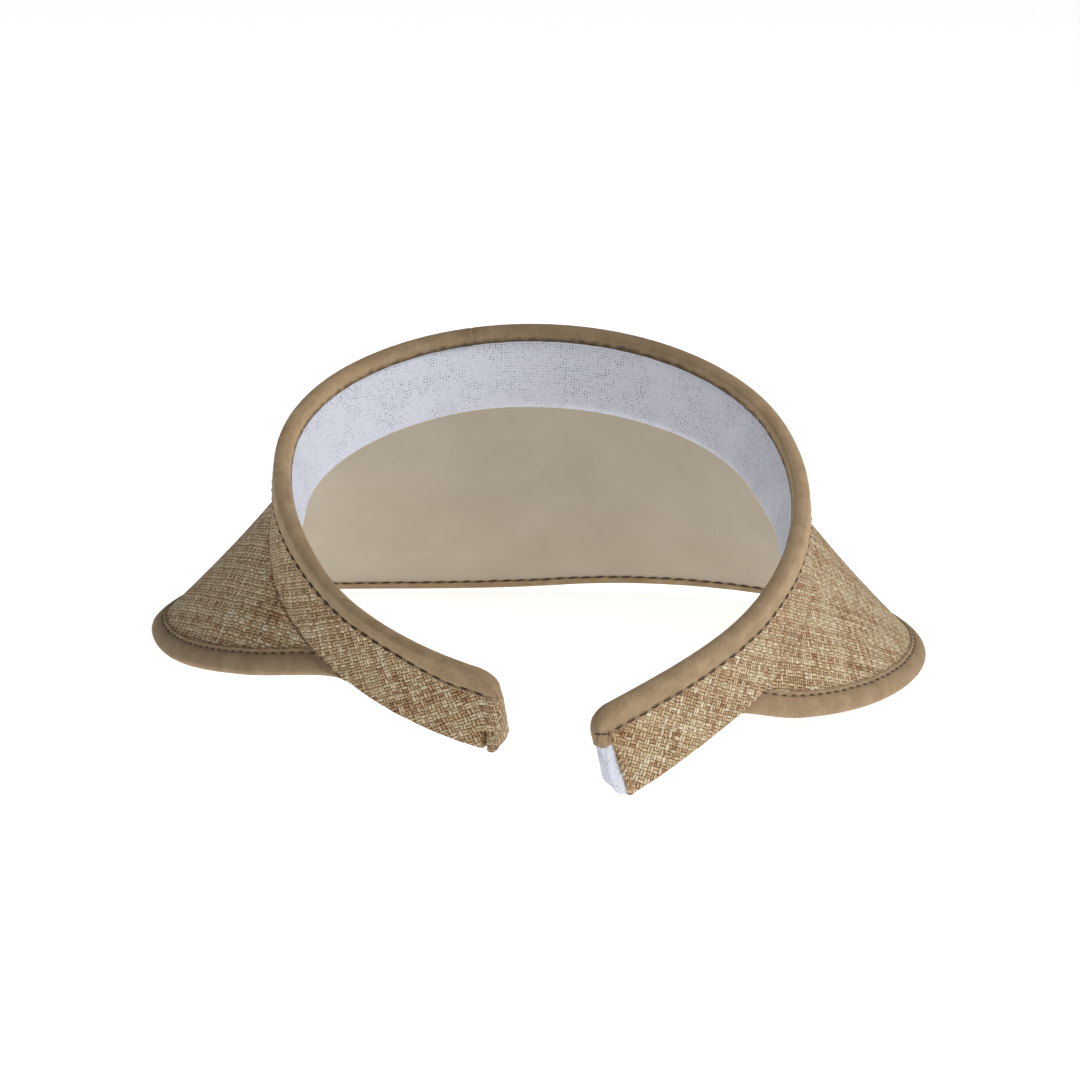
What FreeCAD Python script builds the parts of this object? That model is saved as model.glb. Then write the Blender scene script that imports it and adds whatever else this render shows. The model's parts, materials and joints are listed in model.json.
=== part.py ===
import FreeCAD, Part
import math
import os

import Sketcher

# A clip-on sun visor: an open, springy headband of fabric layers over a spring strip, and a wide
# curved brim sewn to the lower edge of its front. It is modelled as it stands on a table, on the
# front edge of the brim and the end of one arm, with the wearer's forehead side toward -Y.
#
# The rim of the headband lies in one plane, the ring plane. Along the rim, s is the distance from
# the middle of the front. A section of the band is drawn with y inward, toward the head, and z up
# along the ring's normal, with the origin on the middle line of the rim.

SIZES = [
    # headband, middle line of the rim: a front arc, then two arcs to each side
    ("front_radius", 76.0), ("front_angle", 51.0),
    ("left_radius", 63.0), ("left_angle", 40.0), ("left_tail_radius", 104.0),
    ("right_radius", 68.0), ("right_angle", 16.0), ("right_tail_radius", 106.0),
    ("hinge_station", 192.0), ("hinge_gap", 1.0),
    ("left_arm_length", 49.5), ("right_arm_length", 47.5),
    # headband section
    ("band_height", 26.5), ("rim_half_width", 2.1), ("lean", 3.1), ("pad_depth", 7.5),
    ("tape_thickness", 0.7), ("tape_outer_leg", 8.0), ("tape_inner_leg", 3.8),
    ("cover_thickness", 0.9), ("strip_thickness", 0.8), ("strip_margin", 1.5),
    ("terry_thickness", 1.1), ("pad_corner", 2.6), ("pad_foot", 2.0), ("lip_drop", 1.2),
    ("tape_round", 0.8),
    ("thread_width", 0.6), ("thread_height", 0.4), ("thread_drop", 6.4),
    ("seam_rise", 1.6), ("end_wrap", 1.0),
    ("tack_setback", 3.0), ("tack_length", 5.2), ("tack_drop", 1.0),
    # brim: rulings leave the band's lower edge with a flare out from its wall, a sweep toward the
    # front and a length, all of them curves of the fraction of brim_station that has been reached;
    # a twist lifts the right half and lowers the left one, as the board has set in use
    ("brim_flare", 13.4), ("brim_twist", 8.2),
    ("brim_flare_rise_left", 33.9), ("brim_flare_rise_right", 27.3),
    ("brim_flare_reach_left", 0.64), ("brim_flare_reach_right", 0.96),
    ("brim_sweep_left", 48.0), ("brim_sweep_right", 51.0),
    ("brim_depth", 92.5), ("brim_tail_depth", 4.0),
    ("brim_fullness_left", 4.47), ("brim_fullness_right", 3.57),
    ("brim_taper_left", 1.7), ("brim_taper_right", 1.18),
    ("brim_trim", 1.6), ("brim_trim_reach", 0.32),
    ("brim_station", 190.0), ("board_thickness", 1.2), ("brim_cover_thickness", 0.7),
    ("glue_line", 0.1),
    ("lining_thickness", 0.5), ("edge_tape_width", 7.0), ("edge_tape_under", 2.2),
    ("edge_tape_thickness", 0.7), ("edge_tape_share", 0.7), ("edge_stitch_share", 0.86),
    ("edge_tape_gap", 0.15),
    # stance
    ("ring_tilt", 23.9), ("ring_roll", 1.48),
]

BAD_STATES = ("Invalid", "Error")

doc = FreeCAD.newDocument("sun_visor")
sheet = doc.addObject("Spreadsheet::Sheet", "Sizes")
for row, (alias, number) in enumerate(SIZES, start=1):
    sheet.set("A%d" % row, alias)
    sheet.set("B%d" % row, str(number))
    sheet.setAlias("B%d" % row, alias)
doc.recompute()


def size(alias):
    return float(sheet.get(alias))


# ---------------------------------------------------------------- the rim's middle line

SIDES = {"left": 1.0, "right": -1.0}


def rim_arcs(side):
    """The arcs of one side from the middle of the front: radius and length of each."""
    front = size("front_radius") * math.radians(size("front_angle"))
    second = size(side + "_radius") * math.radians(size(side + "_angle"))
    whole = size("hinge_station") + size(side + "_arm_length")
    return [
        (size("front_radius"), front),
        (size(side + "_radius"), second),
        (size(side + "_tail_radius"), whole - front - second),
    ]


def station(side, distance):
    """Point, direction of travel and inward direction on the rim, in the ring's own axes."""
    x = 0.0
    y = -size("front_radius")
    heading = 0.0
    for radius, length in rim_arcs(side):
        run = min(distance, length)
        turn = run / radius
        x += radius * (math.sin(heading + turn) - math.sin(heading))
        y -= radius * (math.cos(heading + turn) - math.cos(heading))
        heading += turn
        distance -= run
    mirror = SIDES[side]
    point = FreeCAD.Vector(mirror * x, y, 0)
    travel = FreeCAD.Vector(mirror * math.cos(heading), math.sin(heading), 0)
    inward = FreeCAD.Vector(-mirror * math.sin(heading), math.cos(heading), 0)
    return point, travel, inward


# ---------------------------------------------------------------- stance of the ring

def ring_placement(lift=FreeCAD.Vector(0, 0, 0)):
    tilt = FreeCAD.Rotation(FreeCAD.Vector(1, 0, 0), -size("ring_tilt"))
    roll = FreeCAD.Rotation(FreeCAD.Vector(0, 1, 0), -size("ring_roll"))
    return FreeCAD.Placement(lift, roll.multiply(tilt))


# ---------------------------------------------------------------- band bodies

def origin_plane(body, role):
    for feature in body.Origin.OriginFeatures:
        if feature.Role == role:
            return feature
    raise ValueError(role)


def attached_sketch(body, name, role):
    sketch = body.newObject("Sketcher::SketchObject", name)
    sketch.AttachmentSupport = [(origin_plane(body, role), "")]
    sketch.MapMode = "FlatFace"
    return sketch


def polygon_sketch(body, name, corners):
    """A closed outline on the YZ plane; every corner's two coordinates are expressions."""
    sketch = attached_sketch(body, name, "YZ_Plane")
    count = len(corners)
    ring = [
        FreeCAD.Vector(math.cos(2 * math.pi * i / count), math.sin(2 * math.pi * i / count), 0)
        for i in range(count)
    ]
    for i in range(count):
        sketch.addGeometry(Part.LineSegment(ring[i], ring[(i + 1) % count]), False)
    for i in range(count):
        sketch.addConstraint(Sketcher.Constraint("Coincident", i, 2, (i + 1) % count, 1))
    for i, (across, up) in enumerate(corners):
        column = sketch.addConstraint(Sketcher.Constraint("DistanceX", -1, 1, i, 1, ring[i].x))
        sketch.setExpression("Constraints[%d]" % column, across)
        level = sketch.addConstraint(Sketcher.Constraint("DistanceY", -1, 1, i, 1, ring[i].y))
        sketch.setExpression("Constraints[%d]" % level, up)
    return sketch


def arc_path(body, name, side, arcs):
    """Tangent arcs on the XY plane from the origin; each has a radius and a turn, as expressions."""
    sketch = attached_sketch(body, name, "XY_Plane")
    mirror = SIDES[side]
    first, last = (1, 2) if mirror > 0 else (2, 1)
    x = 0.0
    y = 0.0
    heading = 0.0
    for i, (radius, turn, radius_text, turn_text) in enumerate(arcs):
        middle_x = mirror * (x - radius * math.sin(heading))
        middle = FreeCAD.Vector(middle_x, y + radius * math.cos(heading), 0)
        begin = heading - math.pi / 2
        end = begin + turn
        if mirror < 0:
            begin, end = math.pi - end, math.pi - begin
        circle = Part.Circle(middle, FreeCAD.Vector(0, 0, 1), radius)
        sketch.addGeometry(Part.ArcOfCircle(circle, begin, end), False)
        x += radius * (math.sin(heading + turn) - math.sin(heading))
        y -= radius * (math.cos(heading + turn) - math.cos(heading))
        heading += turn
        if i == 0:
            sketch.addConstraint(Sketcher.Constraint("Coincident", 0, first, -1, 1))
            sketch.addConstraint(Sketcher.Constraint("PointOnObject", 0, 3, -2))
        else:
            sketch.addConstraint(Sketcher.Constraint("Tangent", i - 1, last, i, first))
        bend = sketch.addConstraint(Sketcher.Constraint("Radius", i, radius))
        sketch.setExpression("Constraints[%d]" % bend, radius_text)
        sweep = sketch.addConstraint(Sketcher.Constraint("Angle", i, turn))
        sketch.setExpression("Constraints[%d]" % sweep, turn_text)
    return sketch


def front_arcs(side, reach):
    """The rim from the middle of the front out to the distance reach, an expression."""
    lengths = rim_arcs(side)
    ends_at = float(doc.getObject("Sizes").evalExpression(reach))
    tail = ends_at - lengths[0][1] - lengths[1][1]
    bends = (
        "(Sizes.front_radius * Sizes.front_angle + Sizes.%s_radius * Sizes.%s_angle) * pi / 180"
        % (side, side)
    )
    return [
        (lengths[0][0], lengths[0][1] / lengths[0][0], "Sizes.front_radius", "Sizes.front_angle * 1deg"),
        (lengths[1][0], lengths[1][1] / lengths[1][0], "Sizes.%s_radius" % side,
         "Sizes.%s_angle * 1deg" % side),
        (lengths[2][0], tail / lengths[2][0], "Sizes.%s_tail_radius" % side,
         "(%s - %s) / Sizes.%s_tail_radius * 1rad" % (reach, bends, side)),
    ]


def arm_arcs(side):
    """The free end of the band, from the far side of the hinge gap."""
    radius = size(side + "_tail_radius")
    length = size(side + "_arm_length") - size("hinge_gap") / 2
    return [
        (radius, length / radius, "Sizes.%s_tail_radius" % side,
         "(Sizes.%s_arm_length - Sizes.hinge_gap / 2) / Sizes.%s_tail_radius * 1rad" % (side, side)),
    ]


# ---------------------------------------------------------------- band sections

def outer_face(offset, depth):
    """Inward distance on a line that follows the leaning outer wall of the band."""
    return "%s - Sizes.lean * (%s) / Sizes.band_height" % (offset, depth)


def inner_face(offset, depth):
    """Inward distance on a line that follows the padded inner wall, deeper toward the bottom."""
    return "%s + (Sizes.pad_depth - Sizes.lean) * (%s) / Sizes.band_height" % (offset, depth)


def outer_corner(offset, depth):
    return outer_face(offset, depth), "-(%s)" % depth


def inner_corner(offset, depth):
    return inner_face(offset, depth), "-(%s)" % depth


RIM_OUT = "-Sizes.rim_half_width"
COVER_OUT = "(Sizes.tape_thickness - Sizes.rim_half_width)"
STRIP_OUT = "(%s + Sizes.cover_thickness)" % COVER_OUT
STRIP_IN = "(%s + Sizes.strip_thickness)" % STRIP_OUT
TERRY_UNDER_TAPE = "(Sizes.rim_half_width - Sizes.tape_thickness)"
TERRY_BACK = "(%s - Sizes.terry_thickness)" % TERRY_UNDER_TAPE
PAD_BACK = "(Sizes.rim_half_width - Sizes.terry_thickness)"
PAD_FOOT = "(Sizes.rim_half_width - Sizes.pad_foot)"
PAD_FOOT_BACK = "(%s - 0.4 * Sizes.terry_thickness)" % PAD_FOOT
UNDER_TAPE = "Sizes.tape_thickness"
FLOOR = "Sizes.band_height"
PAD_TURN = "(Sizes.band_height - Sizes.pad_corner)"
PAD_TURN_BACK = "(Sizes.band_height - Sizes.pad_corner - 0.3 * Sizes.terry_thickness)"
FLOOR_BACK = "(Sizes.band_height - Sizes.terry_thickness)"
LIP = "(Sizes.tape_inner_leg + Sizes.lip_drop)"

THREAD_OUT = "(-Sizes.rim_half_width - Sizes.thread_height)"
THREAD_TOP = "Sizes.thread_drop"
THREAD_BOTTOM = "(Sizes.thread_drop + Sizes.thread_width)"

SECTIONS = {
    "spring_strip": [
        outer_corner(STRIP_OUT, "Sizes.strip_margin"),
        outer_corner(STRIP_IN, "Sizes.strip_margin"),
        outer_corner(STRIP_IN, "(Sizes.band_height - Sizes.strip_margin)"),
        outer_corner(STRIP_OUT, "(Sizes.band_height - Sizes.strip_margin)"),
    ],
    "foam_pad": [
        outer_corner(STRIP_IN, UNDER_TAPE),
        inner_corner(TERRY_BACK, UNDER_TAPE),
        inner_corner(PAD_BACK, PAD_TURN_BACK),
        inner_corner(PAD_FOOT_BACK, FLOOR_BACK),
        outer_corner(STRIP_IN, FLOOR_BACK),
    ],
    "sweatband": [
        inner_corner(TERRY_BACK, UNDER_TAPE),
        inner_corner(TERRY_UNDER_TAPE, UNDER_TAPE),
        inner_corner(TERRY_UNDER_TAPE, "Sizes.tape_inner_leg"),
        inner_corner("Sizes.rim_half_width", LIP),
        inner_corner("Sizes.rim_half_width", PAD_TURN),
        inner_corner(PAD_FOOT, FLOOR),
        outer_corner(STRIP_IN, FLOOR),
        outer_corner(STRIP_IN, FLOOR_BACK),
        inner_corner(PAD_FOOT_BACK, FLOOR_BACK),
        inner_corner(PAD_BACK, PAD_TURN_BACK),
    ],
    "woven_cover": [
        outer_corner(COVER_OUT, UNDER_TAPE),
        outer_corner(STRIP_OUT, UNDER_TAPE),
        outer_corner(STRIP_OUT, FLOOR),
        outer_corner(COVER_OUT, FLOOR),
    ],
    "rim_tape": [
        outer_corner(COVER_OUT, "Sizes.tape_outer_leg"),
        outer_corner(RIM_OUT, "Sizes.tape_outer_leg"),
        outer_corner(RIM_OUT, "Sizes.tape_round"),
        ("Sizes.tape_round - Sizes.rim_half_width", "0"),
        ("Sizes.rim_half_width - Sizes.tape_round", "0"),
        inner_corner("Sizes.rim_half_width", "Sizes.tape_round"),
        inner_corner("Sizes.rim_half_width", "Sizes.tape_inner_leg"),
        inner_corner(TERRY_UNDER_TAPE, "Sizes.tape_inner_leg"),
        inner_corner(TERRY_UNDER_TAPE, UNDER_TAPE),
        outer_corner(COVER_OUT, UNDER_TAPE),
    ],
    "rim_stitching": [
        outer_corner(RIM_OUT, THREAD_TOP),
        outer_corner(RIM_OUT, THREAD_BOTTOM),
        outer_corner(THREAD_OUT, THREAD_BOTTOM),
        outer_corner(THREAD_OUT, THREAD_TOP),
    ],
}

SEAM_TOP = "(Sizes.band_height - Sizes.seam_rise - Sizes.thread_width)"
SEAM_BOTTOM = "(Sizes.band_height - Sizes.seam_rise)"
SEAM_OUT = "(%s - Sizes.thread_height)" % COVER_OUT
SEAM_SECTION = [
    outer_corner(COVER_OUT, SEAM_TOP),
    outer_corner(COVER_OUT, SEAM_BOTTOM),
    outer_corner(SEAM_OUT, SEAM_BOTTOM),
    outer_corner(SEAM_OUT, SEAM_TOP),
]

END_SECTION = [
    outer_corner(COVER_OUT, UNDER_TAPE),
    inner_corner(TERRY_UNDER_TAPE, UNDER_TAPE),
    inner_corner(TERRY_UNDER_TAPE, "Sizes.tape_inner_leg"),
    inner_corner("Sizes.rim_half_width", LIP),
    inner_corner("Sizes.rim_half_width", PAD_TURN),
    inner_corner(PAD_FOOT, FLOOR),
    outer_corner(COVER_OUT, FLOOR),
]

END_TAPE_SECTION = [
    outer_corner(RIM_OUT, "Sizes.tape_outer_leg"),
    outer_corner(RIM_OUT, "Sizes.tape_round"),
    ("Sizes.tape_round - Sizes.rim_half_width", "0"),
    ("Sizes.rim_half_width - Sizes.tape_round", "0"),
    inner_corner("Sizes.rim_half_width", "Sizes.tape_round"),
    inner_corner("Sizes.rim_half_width", "Sizes.tape_inner_leg"),
]

placed = []


def place(item, local):
    placed.append((item, local))


def new_body(label):
    body = doc.addObject("PartDesign::Body", label)
    body.Label = label
    return body


def add_pipe(body, name, profile, path, edges):
    doc.recompute()
    pipe = body.newObject("PartDesign::AdditivePipe", name)
    pipe.Profile = (profile, [""])
    pipe.Spine = (path, ["Edge%d" % (i + 1) for i in range(edges)])


def front_layer(label, corners, reach):
    """A layer of the front, swept both ways from the middle."""
    body = new_body(label)
    section = polygon_sketch(body, label + "_section", corners)
    for side in SIDES:
        arcs = front_arcs(side, reach)
        path = arc_path(body, "%s_%s_path" % (label, side), side, arcs)
        add_pipe(body, "%s_%s_sweep" % (label, side), section, path, len(arcs))
    middle = FreeCAD.Vector(0, -size("front_radius"), 0)
    place(body, FreeCAD.Placement(middle, FreeCAD.Rotation()))
    return body


def arm_placement(side, distance):
    """Local axes at a station: y inward, z along the ring's normal, x forward for the left arm."""
    point, travel, inward = station(side, distance)
    along = travel * SIDES[side]
    turn = math.degrees(math.atan2(along.y, along.x))
    return FreeCAD.Placement(point, FreeCAD.Rotation(FreeCAD.Vector(0, 0, 1), turn))


def arm_layer(side, name, corners):
    label = "%s_%s" % (side, name)
    body = new_body(label)
    section = polygon_sketch(body, label + "_section", corners)
    path = arc_path(body, label + "_path", side, arm_arcs(side))
    add_pipe(body, label + "_sweep", section, path, 1)
    place(body, arm_placement(side, size("hinge_station") + size("hinge_gap") / 2))
    return body


def add_pad(body, name, side, corners, length, start="0"):
    """A plate across the band's section, growing away from the front."""
    sketch = polygon_sketch(body, name + "_section", corners)
    sketch.setExpression("AttachmentOffset.Base.z", "%s * (%d)" % (start, SIDES[side]))
    doc.recompute()
    pad = body.newObject("PartDesign::Pad", name)
    pad.Profile = (sketch, [""])
    pad.Reversed = SIDES[side] < 0
    pad.setExpression("Length", length)


def arm_end_placement(side):
    return arm_placement(side, size("hinge_station") + size(side + "_arm_length"))


def arm_end(side, name):
    """The fabric turned over the end of the arm, closing the layers."""
    label = "%s_%s" % (side, name)
    body = new_body(label)
    add_pad(body, label + "_plate", side, END_SECTION, "Sizes.end_wrap")
    place(body, arm_end_placement(side))


def arm_end_tape(side):
    """The rim tape folded down over the top corner of the arm's end."""
    label = side + "_tape_end"
    body = new_body(label)
    add_pad(body, label + "_rim", side, SECTIONS["rim_tape"], "Sizes.end_wrap")
    add_pad(body, label + "_flap", side, END_TAPE_SECTION, "Sizes.tape_thickness", "Sizes.end_wrap")
    place(body, arm_end_placement(side))


def bar_tack(side):
    """A dense bar of thread that holds the tape near the end of the arm."""
    label = side + "_bar_tack"
    tack = doc.addObject("Part::Box", label)
    tack.Label = label
    tack.setExpression("Length", "Sizes.thread_width * 2")
    tack.setExpression("Width", "Sizes.thread_height")
    tack.setExpression("Height", "Sizes.tack_length")
    back = size("hinge_station") + size(side + "_arm_length") - size("tack_setback")
    wall_tilt = math.degrees(math.atan2(size("lean"), size("band_height")))
    corner = FreeCAD.Vector(0, -size("rim_half_width") - size("thread_height"), 0)
    foot = size("tack_drop") + size("tack_length")
    corner.y -= size("lean") * foot / size("band_height")
    corner.z = -foot
    upright = FreeCAD.Placement(corner, FreeCAD.Rotation(FreeCAD.Vector(1, 0, 0), -wall_tilt))
    place(tack, arm_placement(side, back).multiply(upright))


# ---------------------------------------------------------------- brim surface

def brim_part(along):
    """How far round the brim a place is, from 0 at the front to 1 at its end."""
    return min(abs(along) / size("brim_station"), 1.0)


def eased(part):
    """A smooth rise from 0 to 1, level at both ends."""
    part = min(part, 1.0)
    return part * part * (3 - 2 * part)


def brim_size(name, along):
    """A size that differs between the brim's halves; along is left of the middle when positive."""
    return size(name + ("_left" if along >= 0 else "_right"))


def brim_flare(along):
    """Angle out from the band's wall, greater at the sides than at the front."""
    rise = eased(brim_part(along) / brim_size("brim_flare_reach", along))
    twist = size("brim_twist") * math.sin(math.pi * along / size("brim_station"))
    return math.radians(size("brim_flare") + brim_size("brim_flare_rise", along) * rise - twist)


def brim_sweep(along):
    """Angle of the rulings toward the front, growing toward the brim's ends."""
    return math.radians(brim_size("brim_sweep", along) * eased(brim_part(along)))


def brim_length(along):
    """Length of the ruling, trimmed a little at the front so that the brim stands level."""
    part = brim_part(along)
    full = (1.0 - part ** brim_size("brim_fullness", along)) ** brim_size("brim_taper", along)
    trim = size("brim_trim") * (1.0 - eased(part / size("brim_trim_reach")))
    return size("brim_tail_depth") + (size("brim_depth") - size("brim_tail_depth")) * full - trim


def brim_point(along, reach):
    """A point of the brim's upper face; along is left of the middle when positive."""
    side = "left" if along >= 0 else "right"
    point, travel, inward = station(side, abs(along))
    flare = brim_flare(along)
    sweep = brim_sweep(along)
    wall = size("rim_half_width") - size("tape_thickness") + size("lean")
    down = FreeCAD.Vector(0, 0, -1)
    foot = point - inward * wall + down * size("band_height")
    level = inward * -math.cos(sweep) - travel * math.sin(sweep)
    return foot + (down * math.cos(flare) + level * math.sin(flare)) * reach


def brim_frame(along, reach):
    """Change per unit of along, change per unit of reach, and the outward normal."""
    nudge = 0.5
    ahead = brim_point(along + nudge, reach) - brim_point(along - nudge, reach)
    out = brim_point(along, 1.0) - brim_point(along, 0.0)
    normal = out.cross(ahead)
    normal.normalize()
    return ahead / (2 * nudge), out, normal


def raised(along, reach, height):
    return brim_point(along, reach) + brim_frame(along, reach)[2] * height


def edge_steps(along):
    """How along and reach change per millimetre walked inward from the brim's edge, square to it."""
    nudge = 0.5
    reach = brim_length(along)
    rim_ahead = brim_point(along + nudge, brim_length(along + nudge))
    rim_behind = brim_point(along - nudge, brim_length(along - nudge))
    rim = rim_ahead - rim_behind
    rim.normalize()
    ahead, out, normal = brim_frame(along, reach)
    square = normal.cross(rim)
    if square.dot(out) > 0:
        square = square * -1.0
    aa, ao, oo = ahead.dot(ahead), ahead.dot(out), out.dot(out)
    sa, so = square.dot(ahead), square.dot(out)
    spread = aa * oo - ao * ao
    return (sa * oo - so * ao) / spread, (so * aa - sa * ao) / spread


def edge_point(along, inset, height):
    """A point at a distance inset from the brim's edge and a height above its upper face."""
    step_along, step_reach = edge_steps(along)
    return raised(along + inset * step_along, brim_length(along) + inset * step_reach, height)


def flattened(points):
    """The points moved onto the plane that fits them, so that they can close a solid."""
    middle = sum(points, FreeCAD.Vector(0, 0, 0)) / len(points)
    normal = FreeCAD.Vector(0, 0, 0)
    for a, b in zip(points, points[1:] + points[:1]):
        normal = normal + (a - middle).cross(b - middle)
    normal.normalize()
    return [p - normal * (p - middle).dot(normal) for p in points]


BRIM_SECTIONS = 49


def brim_loft(label, outline):
    """A solid through sections along the brim; outline gives the corners of one section."""
    limit = size("brim_station")
    sections = []
    for i in range(BRIM_SECTIONS):
        along = limit * (2.0 * i / (BRIM_SECTIONS - 1) - 1.0)
        sections.append(outline(along))
    sections[0] = flattened(sections[0])
    sections[-1] = flattened(sections[-1])
    wires = [Part.makePolygon(points + points[:1]) for points in sections]
    feature = doc.addObject("Part::Feature", label)
    feature.Label = label
    feature.Shape = Part.makeLoft(wires, True, False)
    place(feature, FreeCAD.Placement())
    return feature


def brim_sheet(label, top, bottom):
    """One layer of the brim between two heights, ending inside the edge tape."""
    def outline(along):
        inset = size("edge_tape_thickness") + size("edge_tape_gap")
        step_along, step_reach = edge_steps(along)
        rim_along = along + inset * step_along
        rim_reach = brim_length(along) + inset * step_reach
        return [
            raised(along, 0.0, top),
            raised(rim_along, rim_reach, top),
            raised(rim_along, rim_reach, bottom),
            raised(along, 0.0, bottom),
        ]
    return brim_loft(label, outline)


def edge_width(along, width):
    """The width of a leg of the edge tape, narrower where the brim runs out to the band."""
    return min(width, size("edge_tape_share") * brim_length(along))


def brim_layers():
    cover = -size("brim_cover_thickness")
    board_top = cover - size("glue_line")
    board = board_top - size("board_thickness")
    lining_top = board - size("glue_line")
    lining = lining_top - size("lining_thickness")
    brim_sheet("brim_top_cover", 0.0, cover)
    brim_sheet("brim_board", board_top, board)
    brim_sheet("brim_lining", lining_top, lining)
    return lining


def brim_edge_tape(lining):
    wall = size("edge_tape_thickness")
    above = size("edge_tape_gap")
    below = lining - above

    def outline(along):
        over = edge_width(along, size("edge_tape_width"))
        under = edge_width(along, size("edge_tape_under"))
        return [
            edge_point(along, 0.0, above + wall),
            edge_point(along, over, above + wall),
            edge_point(along, over, above),
            edge_point(along, wall, above),
            edge_point(along, wall, below),
            edge_point(along, under, below),
            edge_point(along, under, below - wall),
            edge_point(along, 0.0, below - wall),
        ]
    brim_loft("brim_edge_tape", outline)


def brim_edge_stitching():
    base = size("edge_tape_thickness") + 2 * size("edge_tape_gap")
    top = base + size("thread_height")

    def outline(along):
        inner = size("edge_stitch_share") * edge_width(along, size("edge_tape_width"))
        outer = inner - size("thread_width")
        return [
            edge_point(along, outer, base),
            edge_point(along, inner, base),
            edge_point(along, inner, top),
            edge_point(along, outer, top),
        ]
    brim_loft("brim_edge_stitching", outline)


# ---------------------------------------------------------------- assembly

FRONT_REACH = "(Sizes.hinge_station - Sizes.hinge_gap / 2)"
for layer, corners in SECTIONS.items():
    front_layer("front_" + layer, corners, FRONT_REACH)
    for side in SIDES:
        arm_layer(side, layer, corners)
front_layer("brim_seam_stitching", SEAM_SECTION, "Sizes.brim_station")
arm_end("left", "woven_end")
arm_end("right", "terry_end")
for side in SIDES:
    arm_end_tape(side)
    bar_tack(side)
lining_height = brim_layers()
brim_edge_tape(lining_height)
brim_edge_stitching()
doc.recompute()


def set_stance(lift):
    stance = ring_placement(lift)
    for item, local in placed:
        item.Placement = stance.multiply(local)
    doc.recompute()


def whole_box():
    box = FreeCAD.BoundBox()
    for item, _ in placed:
        for point in item.Shape.tessellate(0.05)[0]:
            box.add(point)
    return box


# The origin is under the middle of the whole, on the surface that it stands on.
set_stance(FreeCAD.Vector(0, 0, 0))
box = whole_box()
set_stance(FreeCAD.Vector(-(box.XMin + box.XMax) / 2, -(box.YMin + box.YMax) / 2, -box.ZMin))


# ---------------------------------------------------------------- checks and files

for item in doc.Objects:
    for state in item.State:
        if state in BAD_STATES:
            raise RuntimeError("%s is %s" % (item.Label, state))
for item, _ in placed:
    if item.Shape.isNull() or not item.Shape.isValid():
        raise RuntimeError("%s has no valid shape" % item.Label)
    if len(item.Shape.Solids) != 1:
        raise RuntimeError("%s has %d solids" % (item.Label, len(item.Shape.Solids)))

os.makedirs("parts", exist_ok=True)
for item, _ in placed:
    item.Shape.exportStep("parts/%s.step" % item.Label)
    print("%-24s %9.1f mm3" % (item.Label, item.Shape.Volume))

box = whole_box()
print("size %.1f x %.1f x %.1f, bottom %.2f" % (box.XLength, box.YLength, box.ZLength, box.ZMin))
for side in SIDES:
    pivot, travel, inward = station(side, size("hinge_station"))
    pivot = pivot - inward * (size("rim_half_width") + size("lean"))
    placement = placed[0][0].Placement.multiply(placed[0][1].inverse())
    axis = placement.Rotation.multVec(FreeCAD.Vector(0, 0, 1))
    print(side, "hinge at", placement.multVec(pivot), "axis", axis)
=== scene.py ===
import json
import math

import bmesh
import bpy
import numpy as np
from mathutils import Matrix, Vector


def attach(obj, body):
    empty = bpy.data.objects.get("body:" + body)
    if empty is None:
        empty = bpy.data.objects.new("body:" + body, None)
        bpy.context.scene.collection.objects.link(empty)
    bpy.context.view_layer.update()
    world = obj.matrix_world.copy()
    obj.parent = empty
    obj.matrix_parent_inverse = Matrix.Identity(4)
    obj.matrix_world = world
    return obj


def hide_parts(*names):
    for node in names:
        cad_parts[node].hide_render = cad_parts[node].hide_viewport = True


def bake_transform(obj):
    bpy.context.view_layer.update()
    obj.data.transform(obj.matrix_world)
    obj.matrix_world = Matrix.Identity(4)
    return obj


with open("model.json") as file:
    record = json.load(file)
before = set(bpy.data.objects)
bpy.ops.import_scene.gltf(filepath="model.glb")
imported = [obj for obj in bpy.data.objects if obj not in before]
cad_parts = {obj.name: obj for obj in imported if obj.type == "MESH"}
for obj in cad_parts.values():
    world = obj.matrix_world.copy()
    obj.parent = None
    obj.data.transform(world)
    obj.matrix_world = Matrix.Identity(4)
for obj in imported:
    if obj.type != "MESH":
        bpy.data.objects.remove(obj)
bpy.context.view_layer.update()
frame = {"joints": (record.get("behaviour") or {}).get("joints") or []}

# The looks of an open-back sun visor. The band's fabrics run unbroken round the ring, so each is
# made in a left and a right piece; the brim's pieces ride on the front.
# Lengths are millimetres in the ring's own axes: X to the wearer's left, Y to the back, Z up along
# the ring's normal, with the rim's middle line in the plane Z = 0. A point on the band is given by s,
# its distance along the rim from the middle of the front, by its depth below the rim, and by its
# place across the band, inward positive.

MM = 0.001


def both(left, right):
    """A value for each side."""
    return {"left": left, "right": right}


# ---- dimensions

FRONT_RADIUS, FRONT_ANGLE = 76.0, 51.0
SECOND_RADIUS = both(63.0, 68.0)
SECOND_ANGLE = both(40.0, 16.0)
TAIL_RADIUS = both(104.0, 106.0)
HINGE = 192.0
END = both(240.0, 242.4)
SIGN = both(1.0, -1.0)
SIDES = ("left", "right")
UP = np.array([0.0, 0.0, 1.0])

BAND_HEIGHT = 26.5
LEAN, PAD_DEPTH = 3.1, 7.5
RIM_HALF = 2.1
TAPE = 0.7
COVER_FACE = TAPE - RIM_HALF
TERRY_UNDER_TAPE = RIM_HALF - TAPE
PAD_BACK = 0.4
OUTER_LEG, INNER_LEG = 8.0, 3.8
FLAP_DEPTH = 9.0
FLAP_SETBACK = both(1.1, 3.2)
CREASE_COLUMN = -9
END_CORNER = 6.0
END_FOOT = both(1.5, 3.0)
OUTER_EDGE = 1.3
INNER_EDGE, INNER_EDGE_GROWTH = 1.4, 1.4
HEM_ROUND = 0.9
WEAVE_SETBACK, TERRY_WRAP, TERRY_SUNK = 3.4, 5.2, 0.5
JOINT_STATION = 26.0

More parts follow.
